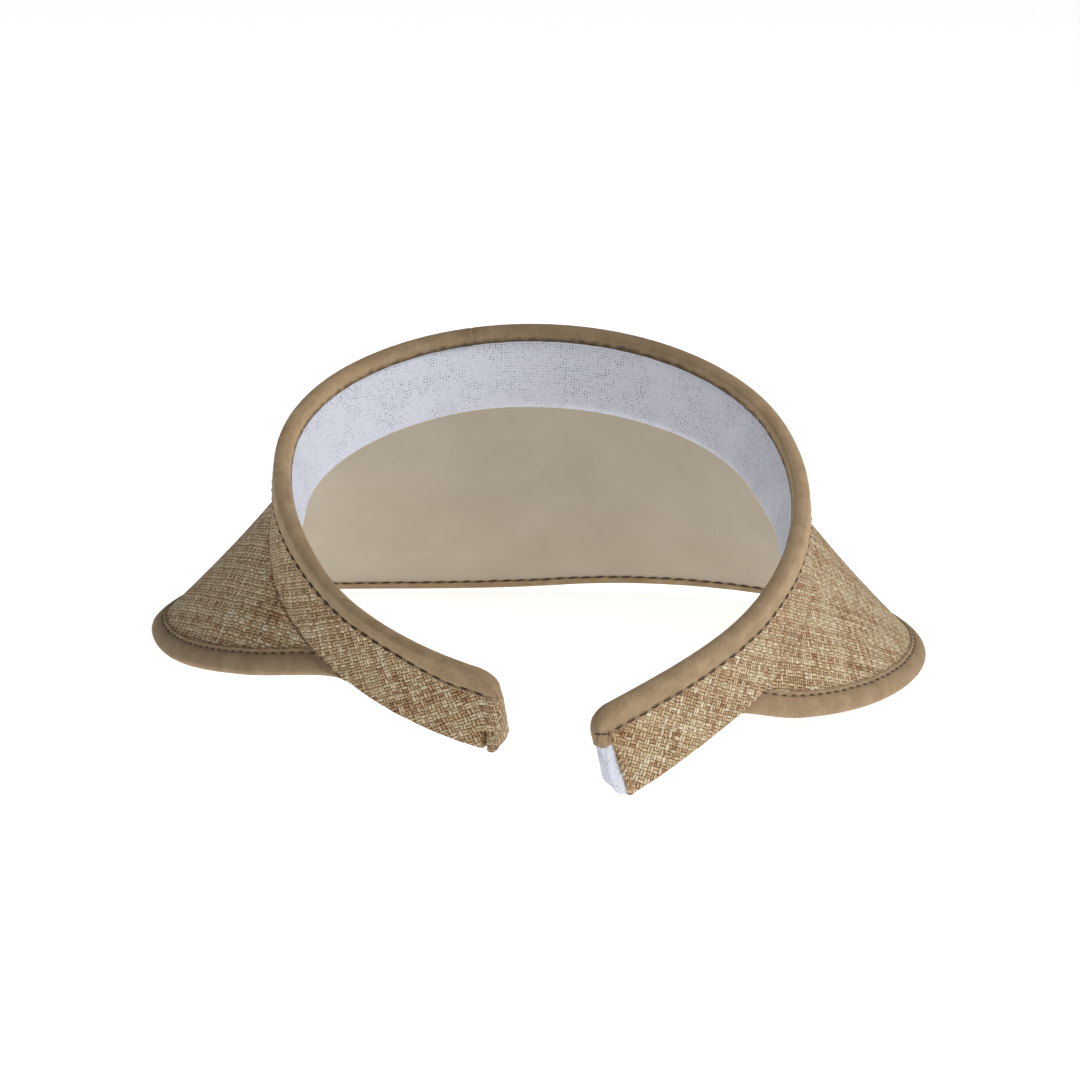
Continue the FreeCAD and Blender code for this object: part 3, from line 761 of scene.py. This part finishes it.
def pad_profile():
    """Depth and inset of the terry from under the tape, down the face and under the foot."""
    face = np.array([0.9, 2.2, 3.5, 4.1, 4.8, 5.8, 7.5, 9.5, 11.5, 13.5, 15.5, 17.5, 19.5, 21.0, 22.5])
    foot = 3.4
    turn = np.linspace(0, math.pi / 2, 7)[1:]
    depth = np.concatenate([face, BAND_HEIGHT - foot + foot * np.sin(turn) * 0.985])
    lip = 0.7 * (1 - smooth((face - 3.5) / 1.8))
    inset = np.concatenate([lip, foot * (1 - np.cos(turn)) * 0.9])
    return depth, inset


def pad_columns():
    """Side, zone and place of every column from the right end round to the left end."""
    turn, end_face = np.linspace(0, math.pi / 2, 5)[1:], np.linspace(0, 1, 6)[1:]
    start = END["right"] - INNER_EDGE - INNER_EDGE_GROWTH
    runs = (
        ("right", OUTER, END["right"] - np.linspace(TERRY_WRAP, OUTER_EDGE, 5)),
        ("right", OUTER_CORNER, turn), ("right", END_FACE, end_face), ("right", INNER_CORNER, turn),
        ("right", INNER, np.linspace(start, 0.0, 110)[1:]),
        ("left", INNER, np.linspace(0.0, END["left"] - 1.6, 110)[1:]),
    )
    return [(side, zone, place) for side, zone, places in runs for place in places]


CLOTH_SETTINGS = {
    "quality": 6, "mass": 0.2, "tension_stiffness": 12.0, "compression_stiffness": 8.0,
    "shear_stiffness": 6.0, "bending_stiffness": 0.4, "use_pressure": True,
    "uniform_pressure_force": 3.0, "shrink_min": -0.012, "vertex_group_mass": "held",
}
CLOTH_FRAMES = 18
MOST_SWELL = 0.9
PAD_BULGE = 0.7


def simulate_pad(obj, held):
    """Inflates the pad as cloth between its held edges, then keeps every move within MOST_SWELL."""
    group = obj.vertex_groups.new(name="held")
    group.add(held, 1.0, "REPLACE")
    rest = np.array([v.co for v in obj.data.vertices])
    cloth = obj.modifiers.new("inflate", "CLOTH")
    for name, value in CLOTH_SETTINGS.items():
        setattr(cloth.settings, name, value)
    cloth.settings.effector_weights.gravity = 0.0
    cloth.collision_settings.use_collision = False
    scene = bpy.context.scene
    scene.frame_start, scene.frame_end = 1, CLOTH_FRAMES
    for step in range(1, CLOTH_FRAMES + 1):
        scene.frame_set(step)
    graph = bpy.context.evaluated_depsgraph_get()
    swollen = np.array([v.co for v in obj.evaluated_get(graph).data.vertices])
    obj.modifiers.remove(cloth)
    scene.frame_set(1)
    move = swollen - rest
    size = np.linalg.norm(move, axis=1, keepdims=True)
    move = move * np.minimum(1.0, MOST_SWELL * MM / np.maximum(size, 1e-9))
    obj.data.vertices.foreach_set("co", (rest + move).ravel())
    obj.data.update()


def make_pads():
    columns = pad_columns()
    depth, inset = pad_profile()
    back_depth = np.array([25.6, 20.0, 14.0, 8.0, 2.5])
    rows, total, count = len(depth), len(depth) + len(back_depth), len(columns)
    points = np.zeros((total, count, 3))
    room = inner_wall(RIM_HALF, back_depth) - outer_wall(PAD_BACK, back_depth)
    for j, (side, zone, place) in enumerate(columns):
        sunk = TERRY_SUNK * (zone == OUTER) * smooth((END[side] - place - OUTER_EDGE) / 1.5)
        points[:rows, j] = outline(side, zone, place, depth, inset + sunk, bulge=PAD_BULGE)
        into = 0.9 + 40.0 * (zone == INNER) * smooth((END[side] - place - 3.0) / 14.0)
        into = np.minimum(room, into)
        points[rows:, j] = outline(side, zone, place, back_depth, into, bulge=PAD_BULGE)
    uv = sheet_uv(steps(points[:rows], 1).mean(axis=0).cumsum(), walk_down(points))
    faces = grid_faces(total, count, closed_rows=True)
    middle = [side for side, _, _ in columns].index("left") - 1
    half = [int(k % (count - 1) >= middle) for k in range(len(faces))]
    faces += [[i * count for i in range(total)][::-1], [(i + 1) * count - 1 for i in range(total)]]
    whole = make_piece("pad_blank", points.reshape(-1, 3), faces, uv.reshape(-1, 2), TERRY)
    whole.data.materials.append(TERRY)
    whole.data.polygons.foreach_set("material_index", half + [0, 1])
    held_rows = [i for i in range(total) if i < 3 or i >= rows - 1]
    held = [i * count + j for i in held_rows for j in range(count)]
    held += [i * count + j for i in range(total) for j in (0, 1, count - 1)]
    simulate_pad(whole, sorted(set(held)))
    rounder = whole.modifiers.new("round", "SUBSURF")
    rounder.levels = rounder.render_levels = 2
    rounder.uv_smooth = "NONE"
    graph = bpy.context.evaluated_depsgraph_get()
    rounded = bpy.data.meshes.new_from_object(whole.evaluated_get(graph))
    bpy.data.objects.remove(whole)
    return [pad_half(rounded, index, side) for index, side in enumerate(("right", "left"))]


def pad_half(rounded, index, side):
    """One half of the padding, cut at the middle of the front."""
    form = bmesh.new()
    form.from_mesh(rounded)
    bmesh.ops.delete(form, geom=[f for f in form.faces if f.material_index != index], context="FACES")
    mesh = bpy.data.meshes.new(side + "_terry_pad")
    form.to_mesh(mesh)
    form.free()
    mesh.materials.clear()
    mesh.materials.append(TERRY)
    mesh.polygons.foreach_set("material_index", [0] * len(mesh.polygons))
    mesh.polygons.foreach_set("use_smooth", [True] * len(mesh.polygons))
    obj = add_object(side + "_terry_pad", mesh)
    return obj


# ---- rim binding

def tape_path(side, first):
    """Rim point, outward direction and both legs' far edges, in s and depth, along the tape."""
    end = END[side]
    run_s = np.arange(first, end - END_CORNER, 0.8)
    run = np.stack([run_s, np.full_like(run_s, TAPE)], -1)
    run_out = np.tile([0.0, -1.0], (len(run), 1))
    angle = np.linspace(0, math.pi / 2, 15)
    corner_out = np.stack([np.sin(angle), -np.cos(angle)], -1)
    corner = np.array([end - END_CORNER, TAPE + END_CORNER]) + END_CORNER * corner_out
    drop = np.linspace(TAPE + END_CORNER, FLAP_DEPTH, 6)[1:]
    fall = np.stack([np.full_like(drop, end), drop], -1)
    fall_out = np.tile([1.0, 0.0], (len(fall), 1))
    rim_point = np.concatenate([run, corner, fall])
    out = np.concatenate([run_out, corner_out, fall_out])
    turned = np.concatenate([np.zeros(len(run)), angle / (math.pi / 2), np.ones(len(fall))])
    rim_s, rim_depth = rim_point.T
    corner_s = end - END_CORNER + (END_CORNER - FLAP_SETBACK[side]) * turned
    foot_s = np.where(turned > 0, corner_s, rim_s)
    less = LEG_LESS[side] * smooth((rim_s - DIP_START + 20.0) / DIP_RUN)
    less = less * (1.0 - smooth((rim_s - LEG_REGAIN[side]) / 25.0))
    foot_d = np.maximum(OUTER_LEG - less, rim_depth + 0.3)
    outer_foot = np.stack([foot_s, foot_d], -1)
    inner_foot = rim_point - out * (INNER_LEG - TAPE)
    return rim_point, out, outer_foot, inner_foot, steps(rim_point).cumsum() + first


LEG_SHARES = (0.0, 0.015, 0.035, 0.07, 0.11, 0.15, 0.2, 0.27, 0.36, 0.48, 0.62, 0.78, 0.92, 1.0)
INNER_LEG_SHARES = (0.18, 0.4, 0.62, 0.8, 0.92, 0.98, 1.0)
STITCH_SHARE = 5
RIM_ROUND = 0.55


def tape_grid(side, first):
    """The surface under the tape, section by section, and each point's distance from a leg's edge."""
    rim_point, out, outer_foot, inner_foot, length = tape_path(side, first)
    wave = 0.28 * wander(length, 31.0, 5 + SIGN[side]) + 0.07 * stitch_beat(length)
    outer_foot = outer_foot + np.stack([0 * wave, wave * smooth((END[side] - rim_point[:, 0]) / 8)], -1)

    def outer_face(spot):
        s, depth = spot.T
        return outer_wall(COVER_FACE, depth) + quarter(OUTER_EDGE, s - (END[side] - OUTER_EDGE))

    def inner_face(spot):
        s, depth = spot.T
        edge = INNER_EDGE + INNER_EDGE_GROWTH * depth / BAND_HEIGHT
        return inner_wall(TERRY_UNDER_TAPE, depth) - quarter(edge, s - (END[side] - edge))

    def rounded(angle):
        return rim_point - out * RIM_ROUND * (1 - math.sin(angle)), RIM_ROUND * (1 - math.cos(angle))

    top = rim_point - out * RIM_ROUND
    reach, inner_reach = (np.linalg.norm(top - foot, axis=1) for foot in (outer_foot, inner_foot))
    outer_edge, inner_edge = outer_face(rim_point), inner_face(rim_point)
    turn = np.linspace(0, math.pi / 2, 5)
    section = []
    for share in LEG_SHARES:
        spot = outer_foot + (top - outer_foot) * share
        section.append((spot, outer_face(spot), share * reach))
    for spot, rise in map(rounded, turn[1:]):
        section.append((spot, outer_edge + rise, reach))
    for share in np.linspace(0, 1, 7)[1:-1]:
        across = outer_edge + RIM_ROUND + share * (inner_edge - outer_edge - 2 * RIM_ROUND)
        section.append((rim_point + out * share * (1 - share), across, reach))
    for spot, rise in map(rounded, turn[::-1]):
        section.append((spot, inner_edge - rise, reach))
    for share in INNER_LEG_SHARES:
        spot = top + (inner_foot - top) * share
        section.append((spot, inner_face(spot), (1 - share) * inner_reach))
    points = np.stack([band_point(side, spot[:, 0], across, spot[:, 1]) for spot, across, _ in section])
    return points, np.stack([from_edge for _, _, from_edge in section]), length


def tape_height(from_edge, length, rows_outer):
    """Thickness of the tape: a rolled edge, the stitch groove, then the plump run over the rim."""
    rolled = 0.14 + 0.66 * smooth(from_edge / 0.35)
    groove = np.exp(-((from_edge - 1.1) / 0.4) ** 2)
    beat = stitch_beat(length)
    pull = 0.46 + 0.10 * beat
    pucker = beat * np.exp(-((from_edge - 2.1) / 1.2) ** 2) * (0.5 + 0.5 * wander(length, 37.0, 12))
    plump = 0.12 * smooth((from_edge - 1.6) / 1.6) - 0.07 * pucker
    lift = 0.22 * (0.5 + 0.5 * wander(length, 23.0, 9)) * np.exp(-from_edge / 0.9)
    height = rolled + plump
    outer = np.arange(len(from_edge)) < rows_outer
    inner = np.arange(len(from_edge)) > rows_outer + 9
    height = height + outer[:, None] * (lift - groove * pull)
    loose = np.exp(-from_edge / 0.7) * (1 + 0.5 * wander(length, 13.0, 15))
    height = height + inner[:, None] * 0.35 * loose
    return height + 0.03 * wander(length + from_edge * 2.0, 7.0, 2)


def make_binding(side):
    first = JOINT_STATION if side == "left" else -JOINT_STATION - 8.0
    points, from_edge, length = tape_grid_signed(side, first)
    normals = grid_normals(points)
    if side == "right":
        normals = -normals
    rows_outer = len(LEG_SHARES)
    height = tape_height(from_edge, length, rows_outer)
    if side == "left":
        inner_leg = smooth((np.arange(len(height)) - rows_outer - 6) / 6.0)[:, None]
        height = height + 0.3 * inner_leg * (1 - smooth((length - JOINT_STATION) / 9.0))
    else:
        height = height - 0.4 * smooth((-length - JOINT_STATION + 1.5) / 3.0)
    height = np.maximum(height, 0.08)
    outside = points + normals * height[..., None]
    inside = points + normals * 0.03
    drop = walk_down(outside)
    # The tape's second cloth coordinate is zero at the stitch line, where its material paints shade,
    # and LIP_PLACE at the inner leg's edge, where it paints shade too.
    drop = drop - drop[STITCH_SHARE]
    uv = sheet_uv(SIGN[side] * length, drop * LIP_PLACE / drop[-1])
    obj = shell_piece(side + "_binding", outside, inside, uv, RIM_BINDING, flip=side == "right")
    declare_sheet(uv)
    return obj, outside, normals


def tape_grid_signed(side, first):
    """The tape's grid; a negative start runs past the middle of the front onto the other side."""
    if first >= 0:
        return tape_grid(side, first)
    points, from_edge, length = tape_grid("left" if side == "right" else "right", 0.0)
    keep = np.flatnonzero((length > 0) & (length <= -first))[::-1]
    extra = points[:, keep], from_edge[:, keep], -length[keep]
    own = tape_grid(side, 0.0)
    return [np.concatenate(pair, axis=min(1, pair[0].ndim - 1)) for pair in zip(extra, own)]


# ---- brim surface

def brim_part(along):
    return np.minimum(np.abs(along) / BRIM_STATION, 1.0)


def brim_length(along):
    part = brim_part(along)
    full = np.maximum(1.0 - part ** by_side(FULLNESS, along), 0.0) ** by_side(TAPER, along)
    length = TAIL_DEPTH + (DEPTH - TAIL_DEPTH) * full - TRIM * (1.0 - smooth(part / TRIM_REACH))
    start = by_side(TAIL_TUCK_STATION, along)
    return length - by_side(TAIL_TUCK, along) * smooth((np.abs(along) - start) / (BRIM_STATION - start))


def brim_point(along, reach):
    """A point of the brim's upper face."""
    along, reach = np.broadcast_arrays(np.asarray(along, float), np.asarray(reach, float))
    point, travel, inward = rim(along)
    part = brim_part(along)
    rise = by_side(FLARE_RISE, along) * smooth(part / by_side(FLARE_REACH, along))
    twist = TWIST * np.sin(math.pi * along / BRIM_STATION)
    flare = np.radians(FLARE + rise - twist)[..., None]
    sweep = np.radians(by_side(SWEEP, along) * smooth(part))[..., None]
    foot = point - inward * (RIM_HALF - TAPE + LEAN) - UP * BAND_HEIGHT
    level = -inward * np.cos(sweep) - travel * np.sin(sweep)
    return foot + (level * np.sin(flare) - UP * np.cos(flare)) * reach[..., None]


def brim_frame(along, reach):
    nudge = 0.5
    ahead = (brim_point(along + nudge, reach) - brim_point(along - nudge, reach)) / (2 * nudge)
    out = brim_point(along, reach + 1.0) - brim_point(along, reach)
    return ahead, out, unit(np.cross(out, ahead))


def raised(along, reach, height):
    return brim_point(along, reach) + brim_frame(along, reach)[2] * np.asarray(height)[..., None]


def edge_steps(along):
    """Change of along and reach per millimetre walked inward from the brim's edge, square to it."""
    nudge = 0.5
    reach = brim_length(along)
    edge = brim_point(along + nudge, brim_length(along + nudge))
    edge = unit(edge - brim_point(along - nudge, brim_length(along - nudge)))
    ahead, out, normal = brim_frame(along, reach)
    square = np.cross(normal, edge)
    square = square * np.where((square * out).sum(-1, keepdims=True) > 0, -1.0, 1.0)
    aa, ao, oo = (ahead * ahead).sum(-1), (ahead * out).sum(-1), (out * out).sum(-1)
    sa, so = (square * ahead).sum(-1), (square * out).sum(-1)
    spread = aa * oo - ao * ao
    return (sa * oo - so * ao) / spread, (so * aa - sa * ao) / spread


def unrolled(along):
    """The flat cut of the brim: where each ruling's root and tip lie when the brim is laid flat."""
    root, tip = brim_point(along, 0.0), brim_point(along, brim_length(along))
    middle = len(along) // 2
    flat_root, flat_tip = np.zeros((2, len(along), 2))
    flat_tip[middle] = (0.0, -np.linalg.norm(tip[middle] - root[middle]))

    def third(a, b, to_a, to_b, toward):
        """The point at given distances from two others, on the side that toward says."""
        line = b - a
        span = np.linalg.norm(line)
        along_line = (to_a ** 2 - to_b ** 2 + span ** 2) / (2 * span)
        off = math.sqrt(max(to_a ** 2 - along_line ** 2, 0.0))
        line = line / span
        return a + line * along_line + np.array([-line[1], line[0]]) * off * toward

    for step, stop in ((1, len(along)), (-1, -1)):
        for j in range(middle + step, stop, step):
            i = j - step
            flat_root[j] = third(flat_root[i], flat_tip[i], math.dist(root[j], root[i]),
                                 math.dist(root[j], tip[i]), step)
            flat_tip[j] = third(flat_root[j], flat_tip[i], math.dist(tip[j], root[j]),
                                math.dist(tip[j], tip[i]), step)
    return flat_root, flat_tip


def brim_sheet_grid(height, columns, rows):
    """A layer of the brim and its flat cloth coordinates, root to edge and end to end."""
    along = np.linspace(-BRIM_STATION, BRIM_STATION, columns)
    step_along, step_reach = edge_steps(along)
    edge_along = along + EDGE_TAPE_INSET * step_along
    edge_reach = brim_length(along) + EDGE_TAPE_INSET * step_reach
    flat_root, flat_tip = unrolled(along)
    share = np.linspace(0, 1, rows)[:, None]
    at_along = along + share * (edge_along - along)
    at_reach = share * edge_reach
    points = raised(at_along, at_reach, height + 0 * at_along)
    uv = flat_root + share[..., None] * (flat_tip - flat_root)
    return points, uv


def even_stations(step):
    """Stations whose points on the brim's edge are evenly spaced, and their places along it."""
    fine = np.linspace(-BRIM_STATION, BRIM_STATION, 2001)
    edge = brim_point(fine, brim_length(fine))
    run = steps(edge).cumsum()
    even = np.linspace(0, run[-1], int(run[-1] / step))
    return np.interp(even, run, fine), even


def make_brim_cover():
    points, uv = brim_sheet_grid(0.02, 521, 130)
    normals = grid_normals(points)
    upper = brim_frame(np.zeros(1), np.full(1, 40.0))[2][0]
    outward = normals * np.sign((normals * upper).sum(-1).mean())
    u, v = uv[..., 0], uv[..., 1]
    relief = 0.05 * wander(u + 0.4 * v, 19.0, 4) * wander(v + 0.3 * u, 23.0, 7)
    root_tuck = -0.5 * (1 - smooth(np.arange(len(points)) / 2.0))[:, None]
    points = points + outward * (relief + root_tuck)[..., None]
    down = points[:, [0, -1]] - outward[:, [0, -1]] * 0.7
    points = np.concatenate([down[:, :1], points, down[:, 1:]], axis=1)
    uv = np.concatenate([uv[:, :1], uv, uv[:, -1:]], axis=1)
    obj = grid_piece("brim_weave", points, uv, BRIM_WEAVE, flip=True)
    declare_sheet(uv)
    return obj


def make_brim_lining():
    points, uv = brim_sheet_grid(-LAYERS_BELOW - 0.02, 261, 60)
    along = np.linspace(-BRIM_STATION, BRIM_STATION, 261)
    point, _, inward = rim(along)
    tucked = point - inward * 1.2 - UP * (BAND_HEIGHT - 0.2)
    lift = points[0] + (tucked - points[0]) * 0.5 - inward * 0.1
    points = np.concatenate([tucked[None], lift[None], points])
    uv = np.concatenate([uv[:1] + (0.0, 3.0), uv[:1] + (0.0, 1.5), uv])
    obj = grid_piece("brim_underside", points, uv, LINING)
    declare_sheet(uv)
    return obj


def edge_profile(width, under):
    """Inset and height round the edge tape's section, from the upper leg's fold to the lower leg's."""
    upper = [
        (width, 0.04), (width + 0.02, 0.3), (width - 0.12, 0.62), (width - 0.4, 0.78),
        (width - 0.75, 0.66), (width - 1.1, 0.42), (width - 1.45, 0.34), (width - 1.8, 0.5),
        (width - 2.2, 0.82), (width - 2.8, 1.02), (0.55 * width, 1.14), (0.38 * width, 1.16),
        (0.22 * width, 1.04),
    ]
    turn = np.linspace(math.radians(100), math.radians(260), 11)
    middle_height = -LAYERS_BELOW / 2
    radius = LAYERS_BELOW / 2 + 0.75
    nose = [(radius * (0.62 + 0.72 * math.cos(t)) - 0.25, middle_height + radius * math.sin(t))
            for t in turn]
    low = -LAYERS_BELOW
    lower = [
        (0.42 * under, low - 0.74), (0.62 * under, low - 0.66), (0.8 * under, low - 0.62),
        (0.93 * under, low - 0.6), (under, low - 0.35), (under, low - 0.04),
    ]
    return upper + nose + lower


GROOVE_ROW = 6


def make_brim_binding():
    along, run = even_stations(0.64)
    under = np.minimum(EDGE_TAPE_UNDER, UNDER_SHARE * brim_length(along))
    pull = stitch_beat(run)
    width = EDGE_TAPE + 0.10 * pull + 0.12 * wander(run, 27.0, 6)
    under = under + 0.12 * pull + 0.1 * wander(run, 19.0, 8)
    inset, height = np.array([edge_profile(w, u) for w, u in zip(width, under)]).T
    groove = np.exp(-((np.arange(len(inset))[:, None] - GROOVE_ROW) / 1.4) ** 2)
    height = height - groove * 0.14 * (0.5 + 0.5 * pull)
    step_along, step_reach = edge_steps(along)

    def tucked(inset, height):
        """The point under or over the brim, run in under the band where it meets the seam."""
        reach = brim_length(along) + inset * step_reach
        low = np.maximum(reach, -0.5)
        sunk = np.where(height > 0, height * smooth((low + 0.5) / 3.0), height)
        return raised(along + inset * step_along, low, sunk)

    outside = tucked(inset, height)
    inside = tucked(np.clip(inset, 0.55, None), np.clip(height, -LAYERS_BELOW - 0.03, 0.03))
    drop = walk_down(outside)
    # The second cloth coordinate is zero at the stitch groove, where the tape's material paints shade.
    uv = sheet_uv(run, drop - drop[GROOVE_ROW])
    obj = shell_piece("brim_binding", outside, inside, uv, BINDING, flip=True)
    declare_sheet(uv)
    return obj, outside


# ---- build: brim

FRONT = "visor_front"

brim_weave = make_brim_cover()
brim_underside = make_brim_lining()
brim_binding, brim_tape_grid = make_brim_binding()
tape_normals = grid_normals(brim_tape_grid)
groove_line = brim_tape_grid[GROOVE_ROW]
groove_out = -tape_normals[GROOVE_ROW]
under_row = len(brim_tape_grid) - 2
brim_stitch_lines = stitches_along(groove_line, groove_out, lift=0.22)
brim_stitch_lines += stitches_along(brim_tape_grid[under_row], -tape_normals[under_row], lift=0.13)
brim_stitches = tubes("brim_edge_stitches", brim_stitch_lines, THREAD_RADIUS, THREAD)

for piece, nodes in (
    (brim_weave, ["brim_top_cover"]), (brim_underside, ["brim_lining", "brim_board"]),
    (brim_binding, ["brim_edge_tape"]), (brim_stitches, ["brim_edge_stitching"]),
):
    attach(piece, FRONT)
    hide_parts(*nodes)


# ---- build: band

BEND_BEFORE, BEND_AFTER = 8.0, 10.0


def bend_at_hinge(piece, side):
    """Bakes the piece's transform into its mesh; the points a little before and after the hinge are
    found but not used.
    """
    point, travel, _ = rim(SIGN[side] * HINGE)
    start = to_row(point - travel * BEND_BEFORE)
    end = to_row(point + travel * BEND_AFTER)
    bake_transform(piece)


KNOT_TURNS = np.array([[0.3, 0.2, 1.0], [0.6, -0.5, 0.4], [-0.4, 0.6, 0.7]])
for side in SIDES:
    cover = make_cover(side)
    binding, tape, tape_out = make_binding(side)
    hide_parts("front_woven_cover", side + "_woven_cover")
    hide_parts("front_rim_tape", side + "_rim_tape", side + "_tape_end")
    lines = stitches_along(tape[STITCH_SHARE], tape_out[STITCH_SHARE], lift=0.36)
    if side == "right":
        crease, crease_out = tape[3:22, CREASE_COLUMN], tape_out[3:22, CREASE_COLUMN]
        lines += stitches_along(crease, crease_out, pitch=2.0, length=1.9, lift=0.2)
        knot = tape[STITCH_SHARE + 2, CREASE_COLUMN] + tape_out[STITCH_SHARE + 2, CREASE_COLUMN] * 0.3
        knots = [knot + np.outer(np.linspace(-1.0, 1.0, 7), unit(turn)) for turn in KNOT_TURNS]
    stitches = tubes(side + "_rim_stitches", lines, THREAD_RADIUS, THREAD)
    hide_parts("front_rim_stitching", side + "_rim_stitching", side + "_bar_tack")
    for piece in (cover, binding, stitches):
        bend_at_hinge(piece, side)
    if side == "left":
        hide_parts("left_woven_end")

for pad in make_pads():
    side = pad.name.split("_")[0]
    bend_at_hinge(pad, side)
    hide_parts("front_sweatband", "front_foam_pad", side + "_sweatband", side + "_foam_pad",
                "front_spring_strip", side + "_spring_strip")
    if side == "right":
        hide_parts("right_terry_end")

end_stitches = tubes("right_end_stitches", overcast_stitches() + knots, END_THREAD_RADIUS, TAN_THREAD)
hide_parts("right_bar_tack")
bend_at_hinge(end_stitches, "right")

seam_s = np.linspace(-BRIM_STATION + 1, BRIM_STATION - 1, 400)
seam_point, _, seam_in = rim(seam_s)
seam_depth = BAND_HEIGHT + 0.1
seam_line = seam_point + seam_in * (outer_wall(COVER_FACE, seam_depth) + 0.35) - UP * seam_depth
seam_lines = stitches_along(seam_line, -seam_in)
seam_stitches = tubes("brim_seam_stitches", seam_lines, THREAD_RADIUS, TAN_THREAD)
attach(seam_stitches, FRONT)
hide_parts("brim_seam_stitching")


# ---- floor, light and camera

FLOOR_HALF, FLOOR_LEVEL = 12.0, -0.001


def make_floor():
    """A pale floor, in metres, a little below the lowest cloth."""
    mesh = bpy.data.meshes.new("floor")
    corners = ((-1, -1), (1, -1), (1, 1), (-1, 1))
    mesh.from_pydata([(FLOOR_HALF * x, FLOOR_HALF * y, 0) for x, y in corners], [], [(0, 1, 2, 3)])
    m = Shading("floor_paint")
    where = m.node("ShaderNodeTexCoord", output=3)
    grain = m.noise(where, 60.0)
    m.finish(m.ramp(grain, FLOOR_GREY), grain, 0.01, 0.9, specular=0.1)
    m.shader.inputs["Emission Color"].default_value = (1, 1, 1, 1)
    m.shader.inputs["Emission Strength"].default_value = 0.75
    mesh.materials.append(m.material)
    floor = add_object("floor", mesh)
    floor.location.z = FLOOR_LEVEL


def add_light(name, spot, target, size, power):
    data = bpy.data.lights.new(name, "AREA")
    data.shape = "DISK"
    data.size = size
    data.energy = power
    lamp = add_object(name, data)
    lamp.location = spot
    lamp.rotation_euler = (Vector(target) - Vector(spot)).to_track_quat("-Z", "Y").to_euler()


make_floor()
add_light("key", (-1.35, 0.45, 1.05), (0, 0, 0.04), 0.9, 17.0)
add_light("top", (-0.3, 0.4, 1.6), (0, 0, 0), 1.6, 3.0)
world = bpy.data.worlds.new("studio")
world.use_nodes = True
sky = world.node_tree.nodes["Background"]
sky.inputs["Color"].default_value = (1, 1, 1, 1)
sky.inputs["Strength"].default_value = 0.24
bpy.context.scene.world = world
bpy.context.scene.view_settings.view_transform = "Standard"

CAMERA_AZIMUTH, CAMERA_ELEVATION, CAMERA_ROLL = -4.91, 36.58, 0.41
CAMERA_DISTANCE, CAMERA_LENS = 1000.0, 119.3
CAMERA_TARGET = (-4.83, 32.42, 0.0)


def add_camera():
    azimuth, elevation, roll = np.radians([CAMERA_AZIMUTH, CAMERA_ELEVATION, CAMERA_ROLL])
    back = np.array([math.sin(azimuth) * math.cos(elevation), math.cos(azimuth) * math.cos(elevation),
                     math.sin(elevation)])
    right = unit(np.cross([0.0, 0.0, 1.0], back))
    up = np.cross(back, right)
    cos, sin = math.cos(roll), math.sin(roll)
    right, up = cos * right + sin * up, cos * up - sin * right
    data = bpy.data.cameras.new("camera")
    data.lens = CAMERA_LENS
    data.sensor_width = 36.0
    data.clip_start, data.clip_end = 0.05, 20.0
    camera = add_object("camera", data)
    place = np.eye(4)
    place[:3, :3] = TURN @ np.stack([right, up, back], axis=1)
    place[:3, 3] = to_row(np.array(CAMERA_TARGET) + back * CAMERA_DISTANCE)
    camera.matrix_world = Matrix(place)
    bpy.context.scene.camera = camera


add_camera()
